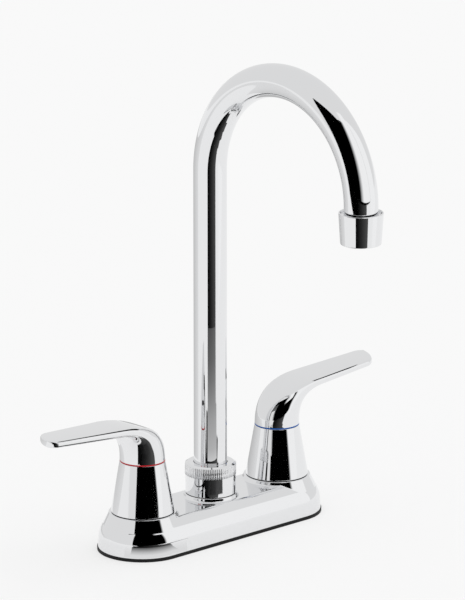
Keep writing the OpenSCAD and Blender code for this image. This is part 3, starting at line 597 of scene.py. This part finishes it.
def build_nut(finish):
    z_low, z_top = low("spout_nut").z, high("spout_nut").z
    fit, lip, chamfer = 0.00015, 0.0023, 0.0012
    band, hub, hole = radius("spout_nut") - fit, radius("lower_glide_washer") + fit, TUBE_R + NUT_GAP
    skin = lathe(Skin(), outline([
        (hub, z_low, FINE_EDGE), (band, z_low, EDGE), (band, z_top - NUT_TOP_CHAMFER, FINE_EDGE),
        (band - chamfer, z_top, EDGE), (hole, z_top, EDGE), (hole, z_top - lip), (hub, z_top - lip)]))
    return skin.build("spout_nut_shell", finish)


# ---- skirts, levers and rings ----

def build_skirt(side, sizes, finish):
    name = f"{side}_skirt"
    r_low, r_top, t = radius(name), sizes.skirt_top_r, sizes.skirt_wall
    z_low, z_top = low(name).z, high(name).z
    x = (low(name).x + high(name).x) / 2
    skin = lathe(Skin(), outline([
        (r_low - t, z_low), (r_low, z_low, EDGE), (r_top, z_top, EDGE), (r_top - t, z_top)]), x, 0)
    return skin.build(f"{side}_skirt_shell", finish)


def build_ring(side, finish):
    name = f"{side}_index_ring"
    x, r, wall, edge = (low(name).x + high(name).x) / 2, radius(name), 0.0012, 0.00012
    z_low, z_top = low(name).z, high(name).z
    skin = lathe(Skin(), outline([(r - wall, z_low), (r, z_low, edge), (r, z_top, edge), (r - wall, z_top)]), x, 0)
    return skin.build(f"{side}_index_band", finish)


def cubic(a, b, c, d, t):
    return (1 - t) ** 3 * a + 3 * (1 - t) ** 2 * t * b + 3 * (1 - t) * t ** 2 * c + t ** 3 * d


class Lever:
    """Surface of a lever; u runs from the neck to the tip, v once round the section."""

    SWEEP_POWER = 1.8  # of the curve on which the tip's trailing side sweeps in
    FULLNESS = 0.995  # an edge never takes up a whole side, so that no face collapses

    def __init__(self, sizes, reach):
        self.s, self.reach = sizes, reach
        rise = NECK_Z + sizes.rise
        self.root_top = np.array([sizes.root_x, rise])
        self.root_low = np.array([sizes.root_x + 0.001, rise - sizes.root_thick])
        self.tip_top = np.array([reach, rise + sizes.slope])
        self.tip_low = np.array([reach, rise + sizes.slope - sizes.tip_thick])

    def spine(self, u):
        """Top and lower point, both sides, edge radius and crown at u: 0 to 1 in the neck, on to 2 at the tip."""
        s = self.s
        if u <= 1:
            # The two curves of the neck leave the ring nearly upright and reach the paddle nearly level.
            top = cubic(np.array([-NECK_R, NECK_Z]), np.array([-NECK_R, NECK_Z + 0.63 * s.rise]),
                        np.array([s.root_x - 0.022, self.root_top[1] - 0.0011]), self.root_top, u)
            lower = cubic(np.array([NECK_R, NECK_Z]), np.array([NECK_R - 0.0003, NECK_Z + 0.45 * s.rise]),
                          np.array([NECK_R, self.root_low[1] - 0.0009]), self.root_low, u)
            flat = max(u, 0) ** 3
            half = NECK_R + (s.root_width / 2 - NECK_R) * u
            edge = (1 - flat) * np.linalg.norm(top - lower) / 2 + flat * s.edge
            return top, lower, -half, half, edge, s.crown * u
        part = u - 1
        top = self.root_top + (self.tip_top - self.root_top) * part
        lower = self.root_low + (self.tip_low - self.root_low) * part
        width = (s.root_width + (s.tip_width - s.root_width) * part) / 2
        past = max(0, top[0] - (self.reach - s.corner))
        leading = width - s.corner + math.sqrt(max(0, s.corner ** 2 - past ** 2))
        swept = min(1, max(0, top[0] - (self.reach - s.sweep)) / s.sweep)
        end = s.tip_width / 2 - s.corner
        trailing = end - (end + width) * (1 - swept ** self.SWEEP_POWER) ** (1 / self.SWEEP_POWER)
        return top, lower, trailing, leading, s.edge, s.crown

    def point(self, u, v):
        """Points of one section; v is an array from 0 to 4, a quarter turn each."""
        top, lower, right, left, edge, crown = self.spine(u)
        w, aside = (left - right) / 2, (left + right) / 2
        middle, h = (top + lower) / 2, np.linalg.norm(top - lower) / 2
        up = (top - lower) / (2 * h)
        r = self.FULLNESS * min(w, h, edge)
        quarter = np.floor(v) % 4
        f = v - np.floor(v)
        f = np.where(quarter % 2 == 1, 1 - f, f)
        angle = np.clip((f - 0.25) / 0.5, 0, 1) * math.pi / 2
        x = np.where(f < 0.75, w - r + r * np.cos(angle), (w - r) * (1 - f) / 0.25)
        y = np.where(f < 0.25, (h - r) * f / 0.25, h - r + r * np.sin(angle))
        x = x * np.where((quarter == 0) | (quarter == 3), 1, -1)
        y = y * np.where(quarter < 2, 1, -1)
        y = y + np.where(y > 0, crown * (1 - (x / w) ** 2) * y / h, 0)
        return np.stack([middle[0] + up[0] * y, x + aside, middle[1] + up[1] * y], -1)


def build_lever(side, sign, sizes, finish):
    reach = sign * (high(f"{side}_lever").x if sign > 0 else low(f"{side}_lever").x) - VALVE_X
    lever = Lever(sizes, reach)
    corner = 2 - sizes.sweep / (reach - sizes.root_x)
    us = np.concatenate([np.linspace(0, 1, 41)[:-1], np.linspace(1, corner, 9)[:-1],
                         corner + (2 - corner) * np.sin(np.linspace(0, math.radians(87), 28))])
    quarter = np.concatenate([[0, 0.12], np.linspace(0.25, 0.75, 9), [0.76, 0.79, 0.85, 0.92]])
    vs = np.concatenate([quarter, 1 + (1 - quarter)[::-1], 2 + quarter, 3 + (1 - quarter)[::-1]])
    vs = np.concatenate([np.unique(np.round(vs, 6)), [4]])
    step = 1e-4
    points, normals = [], []
    for u in us:
        ring = lever.point(u, vs)
        along = lever.point(min(u + step, 2), vs) - lever.point(max(u - step, 0), vs)
        around = lever.point(u, (vs + step) % 4) - lever.point(u, (vs - step) % 4)
        points.append(ring)
        normals.append(np.cross(around, along))
    points, normals = np.array(points), np.array(normals)
    lengths = np.linalg.norm(normals, axis=2, keepdims=True)
    normals = normals / np.maximum(lengths, 1e-30)
    centre = points.mean(axis=1, keepdims=True)
    if ((points - centre) * normals).sum() < 0:
        normals = -normals
    skin = Skin()
    socket, spigot, socket_depth = NECK_R - 0.00405, NECK_R - 0.0023, 0.0094
    z_low, z_join = low(f"{side}_lever").z, NECK_Z + 0.001
    skin.grid(points, normals)
    skin.cap(points[-1][:-1], [1, 0, 0])
    ring = points[0]
    angles = np.arctan2(ring[:, 1], ring[:, 0])
    inner = np.stack([socket * np.cos(angles), socket * np.sin(angles), ring[:, 2]], -1)
    skin.grid(np.stack([ring, inner]), np.tile([0, 0, -1.0], (2, len(ring), 1)))
    roof = inner + [0, 0, socket_depth]
    skin.grid(np.stack([inner, roof]), np.stack([-inner * [1, 1, 0], -inner * [1, 1, 0]]))
    skin.cap(roof[:-1], [0, 0, -1])
    lathe(skin, outline([(socket, z_low), (spigot, z_low, EDGE), (spigot, z_join), (socket, z_join)]))
    for part in range(len(skin.points)):
        skin.points[part] = skin.points[part] * [sign, sign, 1] + [sign * VALVE_X, 0, 0]
        skin.normals[part] = skin.normals[part] * [sign, sign, 1]
    return skin.build(f"{side}_lever_skin", finish)


# ---- aerator ----

def build_aerator(sizes, finish):
    r, z_low, z_top = radius("aerator_shell"), low("aerator_shell").z, high("aerator_shell").z
    ledge, lip_height, seat_height = 0.0008, 0.0016, 0.0047
    relief, mouth, first_turn = 0.0003, 0.0015, 0.0018
    low_edge, top_edge = 0.0006, 0.00035
    thread = radius("outlet_fitting") + OUTLET_FIT
    seat = low("aerator_insert").z + seat_height
    bore = radius("aerator_insert") - ledge
    skin = lathe(Skin(), outline([
        (bore - ledge, z_low, EDGE), (r - sizes.aerator_taper, z_low, low_edge), (r, z_top, top_edge),
        (thread + relief, z_top, FINE_EDGE), (thread + relief, z_top - mouth), (thread, z_top - first_turn),
        (thread, seat), (bore, seat), (bore, z_low + lip_height), (bore - ledge, z_low + lip_height)]), 0, OUTLET_Y)
    return skin.build("aerator_sleeve", finish)


def build_outlet(finish):
    r, z_low, z_top = radius("outlet_fitting"), low("outlet_fitting").z, high("outlet_fitting").z
    bore = TUBE_R + OUTLET_FIT
    skin = lathe(Skin(), outline([(bore, z_low), (r, z_low), (r, z_top, EDGE), (bore, z_top)]), 0, OUTLET_Y)
    return skin.build("outlet_collar", finish)


# ---- finishes ----

class Wire:
    """A shader socket that can be used in sums."""

    def __init__(self, finish, socket):
        self.finish, self.socket = finish, socket

    def _math(self, operation, other, swapped=False):
        pair = [other, self] if swapped else [self, other]
        return self.finish.node("ShaderNodeMath", {"operation": operation}, {0: pair[0], 1: pair[1]})

    def __add__(self, other):
        return self._math("ADD", other)

    def __radd__(self, other):
        return self._math("ADD", other, True)

    def __sub__(self, other):
        return self._math("SUBTRACT", other)

    def __rsub__(self, other):
        return self._math("SUBTRACT", other, True)

    def __mul__(self, other):
        return self._math("MULTIPLY", other)

    def __rmul__(self, other):
        return self._math("MULTIPLY", other, True)


class Finish:
    """A material, written as a few nodes."""

    def __init__(self, name):
        self.material = bpy.data.materials.new(name)
        self.material.use_nodes = True
        self.tree = self.material.node_tree
        self.tree.nodes.clear()

    def node(self, kind, settings=None, sockets=None, output=0):
        made = self.tree.nodes.new(kind)
        for key, value in (settings or {}).items():
            if key == "stops":
                ramp = made.color_ramp.elements
                while len(ramp) < len(value):
                    ramp.new(1)
                for stop, (place, colour) in zip(ramp, value):
                    stop.position, stop.color = place, colour
            else:
                setattr(made, key, value)
        for key, value in (sockets or {}).items():
            if isinstance(value, Wire):
                self.tree.links.new(value.socket, made.inputs[key])
            else:
                made.inputs[key].default_value = value
        return Wire(self, made.outputs[output]) if made.outputs else None

    def place(self):
        return self.node("ShaderNodeTexCoord", output="Object")

    def noise(self, scale, detail=2.0):
        return self.node("ShaderNodeTexNoise", {}, {"Vector": self.place(), "Scale": scale, "Detail": detail})

    def surface(self, **sockets):
        names = {key: key.replace("_", " ") for key in sockets}
        shader = self.node("ShaderNodeBsdfPrincipled", {}, {names[k]: v for k, v in sockets.items()})
        return self.done(shader)

    def done(self, shader):
        self.node("ShaderNodeOutputMaterial", {}, {"Surface": shader})
        return self.material


def rgb(colour):
    return (*colour, 1)


def chrome(name, colour, roughness=0.03):
    f = Finish(name)
    return f.surface(Base_Color=rgb(colour), Metallic=1.0, Roughness=roughness + 0.02 * f.noise(55))


def brass(name, colour):
    f = Finish(name)
    turning = f.noise(900, 1.0)
    return f.surface(Base_Color=rgb(colour), Metallic=1.0, Roughness=0.24 + 0.14 * turning)


def rubber(name, colour):
    f = Finish(name)
    grain = f.noise(2400, 1.0)
    bump = f.node("ShaderNodeBump", {}, {"Strength": 0.12, "Distance": 0.0002, "Height": grain})
    return f.surface(Base_Color=rgb(colour), Specular_IOR_Level=0.2, Roughness=0.5 + 0.15 * grain, Normal=bump)


def plastic(name, colour, roughness, shine=0.5):
    f = Finish(name)
    return f.surface(Base_Color=rgb(colour), Specular_IOR_Level=shine, Roughness=roughness + 0.08 * f.noise(320))


def steel(name, colour, roughness):
    f = Finish(name)
    return f.surface(Base_Color=rgb(colour), Metallic=1.0, Roughness=roughness + 0.12 * f.noise(1500, 1.0))


class Paints:
    """All finishes of the faucet, each made once."""

    def __init__(self, colours):
        self.chrome_base = chrome("chrome base", colours.chrome)
        self.chrome_spout = chrome("chrome spout", colours.chrome)
        self.chrome_trim = chrome("chrome trim", colours.chrome)
        self.chrome_knurl = chrome("chrome knurl", colours.chrome, 0.3)
        self.gasket_rubber = rubber("gasket rubber", colours.gasket)
        self.seal_rubber = rubber("seal rubber", (0.03, 0.03, 0.032))
        self.cast_brass = brass("machined brass", colours.brass)
        self.ceramic = plastic("valve ceramic", (0.86, 0.85, 0.81), 0.12)
        self.white_plastic = plastic("white plastic", (0.80, 0.80, 0.78), 0.38)
        self.black_plastic = plastic("black plastic", (0.03, 0.03, 0.032), 0.42)
        self.stainless = steel("stainless", (0.62, 0.62, 0.63), 0.24)
        self.steel_black = steel("black steel", (0.06, 0.06, 0.065), 0.35)
        self.index_red = plastic("index red", colours.hot, 0.3, 0.15)
        self.index_blue = plastic("index blue", colours.cold, 0.3, 0.15)


PAINTS = {}  # filled by the first building step


def paint(slot):
    return getattr(PAINTS["all"], slot)


def fitted(piece, body, slot, *nodes):
    """Rides a finished piece on its body, in place of the nodes that it stands for."""
    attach(piece, body)
    if nodes:
        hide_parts(*nodes)
    return piece


# ---- operators ----

class FAUCET_OT_finishes(bpy.types.Operator):
    """Make the finishes and put them on the parts of the frame."""

    bl_idname = "faucet.finishes"
    bl_label = "Finishes"

    def execute(self, context):
        PAINTS["all"] = Paints(context.scene.faucet_finishes)
        for part in frame["record"]["subparts"]:
            mesh = frame["nodes"][part["node"]].data
            mesh.materials.clear()
            mesh.materials.append(paint(part["material_slot"]))
        return {"FINISHED"}


class FAUCET_OT_base(bpy.types.Operator):
    """Build the oval base shell."""

    bl_idname = "faucet.base"
    bl_label = "Base shell"

    def execute(self, context):
        piece = build_base(context.scene.faucet_base, paint("chrome_base"))
        fitted(piece, "base", "chrome_base", "escutcheon")
        return {"FINISHED"}


class FAUCET_OT_spout(bpy.types.Operator):
    """Build the gooseneck tube."""

    bl_idname = "faucet.spout"
    bl_label = "Spout tube"

    def execute(self, context):
        fitted(build_tube(paint("chrome_spout")), "spout", "chrome_spout", "spout_tube")
        return {"FINISHED"}


class FAUCET_OT_nut(bpy.types.Operator):
    """Build the spout nut and its knurled ribs."""

    bl_idname = "faucet.nut"
    bl_label = "Knurled nut"

    def execute(self, context):
        sizes = context.scene.faucet_trim
        fitted(build_nut(paint("chrome_trim")), "base", "chrome_trim", "spout_nut")
        top, height = high("spout_nut").z - NUT_TOP_CHAMFER, sizes.knurl_height - NUT_TOP_CHAMFER
        tree, sockets = knurl_tree(paint("chrome_knurl"))
        ribs = grown("spout_nut_knurl", tree, sockets, paint("chrome_knurl"), {
            "Count": sizes.knurl_count, "Band radius": radius("spout_nut") - sizes.rib_radius,
            "Rib radius": sizes.rib_radius, "Rib height": height, "Middle height": top - height / 2})
        fitted(ribs, "base", "chrome_trim")
        return {"FINISHED"}


class FAUCET_OT_handles(bpy.types.Operator):
    """Build the skirts, index rings and levers of both handles."""

    bl_idname = "faucet.handles"
    bl_label = "Handles"

    def execute(self, context):
        scene = context.scene
        for side, sign in SIDES:
            body = f"{side}_handle"
            skirt = build_skirt(side, scene.faucet_trim, paint("chrome_trim"))
            fitted(skirt, "base", "chrome_trim", f"{side}_skirt")
            tint_slot = "index_red" if side == "hot" else "index_blue"
            fitted(build_ring(side, paint(tint_slot)), body, tint_slot, f"{side}_index_ring")
            lever = build_lever(side, sign, scene.faucet_lever, paint("chrome_trim"))
            fitted(lever, body, "chrome_trim", f"{side}_lever")
        return {"FINISHED"}


class FAUCET_OT_aerator(bpy.types.Operator):
    """Build the aerator sleeve and the fitting above it."""

    bl_idname = "faucet.aerator"
    bl_label = "Aerator"

    def execute(self, context):
        sizes = context.scene.faucet_trim
        fitted(build_aerator(sizes, paint("chrome_trim")), "spout", "chrome_trim", "aerator_shell")
        fitted(build_outlet(paint("chrome_trim")), "spout", "chrome_trim", "outlet_fitting")
        return {"FINISHED"}


class FAUCET_OT_threads(bpy.types.Operator):
    """Wind the ridges of the threads on the two inlet shanks."""

    bl_idname = "faucet.threads"
    bl_label = "Shank threads"

    def execute(self, context):
        trim = context.scene.faucet_trim
        tree, sockets = thread_tree(paint("cast_brass"))
        z_low = low("waterway_body").z
        for side, sign in SIDES:
            for part, start, length in (("supply", 0.001, 0.020), ("upper", 0.0245, 0.0225)):
                ridge = grown(f"{side}_{part}_thread", tree, sockets, paint("cast_brass"), {
                    "Core radius": trim.thread_core, "Ridge": trim.thread_ridge, "Length": length,
                    "Turns": length / trim.thread_pitch, "Place": (sign * VALVE_X, 0, z_low + start)})
                fitted(ridge, "base", "cast_brass")
        return {"FINISHED"}


# ---- studio ----

def glow(f, strength):
    return f.node("ShaderNodeEmission", {}, {"Color": (1, 1, 1, 1), "Strength": strength})


def seen_where(f, cover, shader):
    """The shader where cover is 1, and clear where it is 0."""
    return f.node("ShaderNodeMixShader", {}, {0: cover, 1: f.node("ShaderNodeBsdfTransparent"), 2: shader})


def along(f, way):
    return f.node("ShaderNodeVectorMath", {"operation": "DOT_PRODUCT"}, {0: f.place(), 1: tuple(way)}, output="Value")


def ramp(f, value, stops):
    return f.node("ShaderNodeValToRGB", {"stops": [(t, (v, v, v, 1)) for t, v in stops]}, {0: value})


def card(name, corners, strength, toward=None, stops=None, near=None):
    """A panel that only shiny surfaces see. stops give its opacity from its first corner toward another one.

    With near, only surfaces within that distance of it see it, and only from its front.
    """
    mesh = bpy.data.meshes.new(name)
    mesh.from_pydata([tuple(c) for c in corners], [], [list(range(len(corners)))])
    f = Finish(name)
    shader = glow(f, strength)
    if stops:
        start, way = np.array(corners[0]), np.array(corners[toward]) - np.array(corners[0])
        way = way / (way @ way)
        shader = seen_where(f, ramp(f, along(f, way) - float(start @ way), stops), shader)
    if near:
        length = f.node("ShaderNodeLightPath", output="Ray Length")
        close = f.node("ShaderNodeMath", {"operation": "LESS_THAN"}, {0: length, 1: near})
        shader = seen_where(f, close * (1 - f.node("ShaderNodeNewGeometry", output="Backfacing")), shader)
    return only_in_reflections(placed(name, mesh, f.done(shader)))


def only_in_reflections(panel):
    for ray in ("camera", "diffuse", "shadow", "transmission"):
        setattr(panel, f"visible_{ray}", False)
    return panel


def floor_mat(name, centre, axes, turns, reach, levels, z=0.0004):
    """A sector of the floor that only shiny surfaces see.

    centre and the two axes place it, turns and reach are its angles and radii, and levels give its brightness
    from its first angle to its last.
    """
    spokes = np.radians(np.linspace(*turns, 25))
    centre = np.array([*centre, z])
    forward, sideways = (np.array([*axis, 0]) for axis in axes)
    rings = [[centre + r * (math.cos(a) * forward + math.sin(a) * sideways) for a in spokes] for r in reach]
    skin = Skin()
    skin.grid(np.array(rings), np.tile([0, 0, 1.0], (2, len(spokes), 1)))
    f = Finish(name)
    front, side = along(f, forward) - float(centre @ forward), along(f, sideways) - float(centre @ sideways)
    angle = f.node("ShaderNodeMath", {"operation": "ARCTAN2"}, {0: side, 1: front})
    shader = glow(f, ramp(f, (angle - float(spokes[0])) * (1 / float(spokes[-1] - spokes[0])), levels))
    return only_in_reflections(skin.build(name, f.done(shader)))


class FAUCET_OT_studio(bpy.types.Operator):
    """Set up the camera, floor, light and reflected panels."""

    bl_idname = "faucet.studio"
    bl_label = "Studio"

    def execute(self, context):
        scene, studio = context.scene, context.scene.faucet_studio
        turn, lift = studio.azimuth, studio.elevation
        ahead = np.array([-math.sin(turn) * math.cos(lift), math.cos(turn) * math.cos(lift), -math.sin(lift)])
        right = np.array([math.cos(turn), math.sin(turn), 0])
        up = np.cross(right, ahead)
        riser_middle = np.array([0, 0, 0.1])
        lens = bpy.data.cameras.new("camera")
        lens.lens, lens.sensor_width, lens.sensor_fit = studio.lens, 36, "AUTO"
        lens.clip_start, lens.clip_end = 0.1, 60
        camera = bpy.data.objects.new("camera", lens)
        scene.collection.objects.link(camera)
        aim = riser_middle + studio.aim_side * right + studio.aim_up * up
        camera.location = Vector(aim - studio.distance * ahead)
        camera.rotation_mode = "QUATERNION"
        camera.rotation_quaternion = Vector(ahead).to_track_quat("-Z", "Y")
        scene.camera = camera

        forward, sideways = np.array([math.sin(turn), -math.cos(turn)]), np.array([math.cos(turn), math.sin(turn)])

        def spot(aside, ahead, z):
            """A point to the right of the faucet and towards the camera, as the camera sees it."""
            return (*(aside * sideways + ahead * forward), z)

        def wall(name, start, end, z0, z1, strength, toward=None, stops=None):
            card(name, [spot(*start, z0), spot(*end, z0), spot(*end, z1), spot(*start, z1)], strength, toward, stops)

        white = studio.card_white
        wall("far dark card", (-0.964, 1.977), (2.04, 0.824), -0.3, 2.6, 0.0)
        wall("right panel", (0.350, 0.265), (1.18, -0.21), -0.05, 0.9, 1.0, 1, [(0, 0), (0.06, 1)])
        wall("arch dark card", (-0.160, 0.160), (0.039, 0.199), 0.165, 0.42, 0.0)
        wall("arch white card", (0.080, 0.216), (0.194, 0.149), 0.2, 0.6, 1.0, 1, [(0, 0), (0.35, 1)])
        wall("riser fill", (-0.0062, 0.022), (0.0165, 0.022), 0.038, 0.115, white, 3, [
            (0, 0.8), (0.09, 0.6), (0.32, 0.46), (0.46, 0.33), (0.61, 0.22), (0.76, 0.15), (1, 0.1)])
        # Each flag draws the dark line on the front edge of its lever.
        for side, x, near, corners in (
                ("hot", -0.022, 0.15, ((0.045, 0.1), (-0.03, 0.1), (-0.03, 0.19), (0.045, 0.19))),
                ("cold", 0.13, 0.118, ((-0.005, 0.107), (-0.03, 0.107), (-0.03, 0.21), (0.07, 0.21), (0.07, 0.183)))):
            card(f"{side} lever flag", [(x, *c) for c in corners], 0.0, near=near)
        axes, riser, valve = (forward, sideways), (0, 0), (-VALVE_X, 0)
        dark = [(0, 0), (0.25, 0.008), (0.5, 0.025), (0.75, 0.05), (1, 0.085)]
        for name, centre, turns, reach, levels in (
                ("nut mat", riser, (-26, 53), (0.088, 0.14), dark),
                ("valve mat", valve, (-22, 66), (0.038, 0.2), dark),
                ("middle mat", riser, (-18, 41), (0.14, 0.26), dark),
                ("far mat", riser, (-18, 36.5), (0.26, 2.1), dark),
                ("back mat", riser, (-90, -179.5), (0.14, 1.5), [(0, white), (0.35, 0.7), (1, 0.5)])):
            floor_mat(name, centre, axes, turns, reach, levels)
        self.low_fill(math.atan2(forward[1], forward[0]), white)
        self.floor(studio)
        self.world(scene, studio)
        lamp = bpy.data.lights.new("soft key light", "SUN")
        lamp.angle, lamp.energy = math.radians(60), studio.key
        key = bpy.data.objects.new("soft key light", lamp)
        key.rotation_mode = "QUATERNION"
        key.rotation_quaternion = (-Vector(spot(0.75, -0.35, 1.1))).to_track_quat("-Z", "Y")
        key.visible_camera = key.visible_glossy = False
        scene.collection.objects.link(key)
        scene.view_settings.view_transform = "Standard"
        return {"FINISHED"}

    def low_fill(self, front, white, r=0.034, z_low=0.0005, z_top=0.0068):
        """A low white strip round the left end, which fades the dark from the foot of the base."""
        skin = lathe(Skin(), [np.array([(r, z_low, -1, 0), (r, z_top, -1, 0)])], -VALVE_X, 0, 24,
                     front - math.radians(30), math.radians(100))
        f = Finish("low fill")
        cover = ramp(f, along(f, (0, 0, 1 / z_top)), [(0.3, 1), (0.55, 0.7), (0.8, 0.3), (1, 0)])
        only_in_reflections(skin.build("low fill", f.done(seen_where(f, cover, glow(f, white)))))

    def floor(self, studio, reach=6.0, z=-0.0001):
        """A round paper floor just under the deck, as pale as the backdrop and clear from below."""
        skin = lathe(Skin(), [np.array([(0, z, 0, 1), (reach, z, 0, 1)])], steps=64)
        f = Finish("studio floor")
        paper = f.node("ShaderNodeBsdfDiffuse", {}, {"Color": rgb([studio.paper] * 3)})
        both = f.node("ShaderNodeAddShader", {}, {0: paper, 1: glow(f, studio.paper_glow)})
        clear = f.node("ShaderNodeBsdfTransparent")
        behind = f.node("ShaderNodeNewGeometry", output="Backfacing")
        shown = f.node("ShaderNodeMixShader", {}, {0: behind, 1: both, 2: clear})
        skin.build("floor", f.done(shown))

    def world(self, scene, studio):
        world = bpy.data.worlds.new("studio")
        world.use_nodes = True
        scene.world = world
        nodes, links = world.node_tree.nodes, world.node_tree.links
        nodes.clear()
        path = nodes.new("ShaderNodeLightPath")
        level = nodes.new("ShaderNodeMix")
        level.data_type = "FLOAT"
        level.inputs["A"].default_value = studio.card_white
        level.inputs["B"].default_value = studio.backdrop
        links.new(path.outputs["Is Camera Ray"], level.inputs["Factor"])
        sky = nodes.new("ShaderNodeBackground")
        sky.inputs["Color"].default_value = (1, 1, 1, 1)
        links.new(level.outputs["Result"], sky.inputs["Strength"])
        links.new(sky.outputs[0], nodes.new("ShaderNodeOutputWorld").inputs["Surface"])


STEPS = (FAUCET_OT_finishes, FAUCET_OT_base, FAUCET_OT_spout, FAUCET_OT_nut, FAUCET_OT_handles,
         FAUCET_OT_aerator, FAUCET_OT_threads, FAUCET_OT_studio)
GROUPS = (("faucet_base", BaseSizes), ("faucet_lever", LeverSizes), ("faucet_trim", TrimSizes),
          ("faucet_finishes", Finishes), ("faucet_studio", Studio))


class FAUCET_PT_panel(bpy.types.Panel):
    """Sizes, colours and building steps of the faucet."""

    bl_idname = "FAUCET_PT_panel"
    bl_label = "Gooseneck faucet"
    bl_space_type = "VIEW_3D"
    bl_region_type = "UI"
    bl_category = "Faucet"

    def draw(self, context):
        for attribute, group in GROUPS:
            box = self.layout.box()
            box.label(text=group.__doc__)
            for name in group.__annotations__:
                box.prop(getattr(context.scene, attribute), name)
        for step in STEPS:
            self.layout.operator(step.bl_idname)


def register():
    for attribute, group in GROUPS:
        bpy.utils.register_class(group)
        setattr(bpy.types.Scene, attribute, PointerProperty(type=group))
    for item in (*STEPS, FAUCET_PT_panel):
        bpy.utils.register_class(item)


def unregister():
    for item in (FAUCET_PT_panel, *reversed(STEPS)):
        bpy.utils.unregister_class(item)
    for attribute, group in reversed(GROUPS):
        delattr(bpy.types.Scene, attribute)
        bpy.utils.unregister_class(group)


def main():
    register()
    for step in STEPS:
        package, name = step.bl_idname.split(".")
        getattr(getattr(bpy.ops, package), name)()


if __name__ == "__main__":
    main()
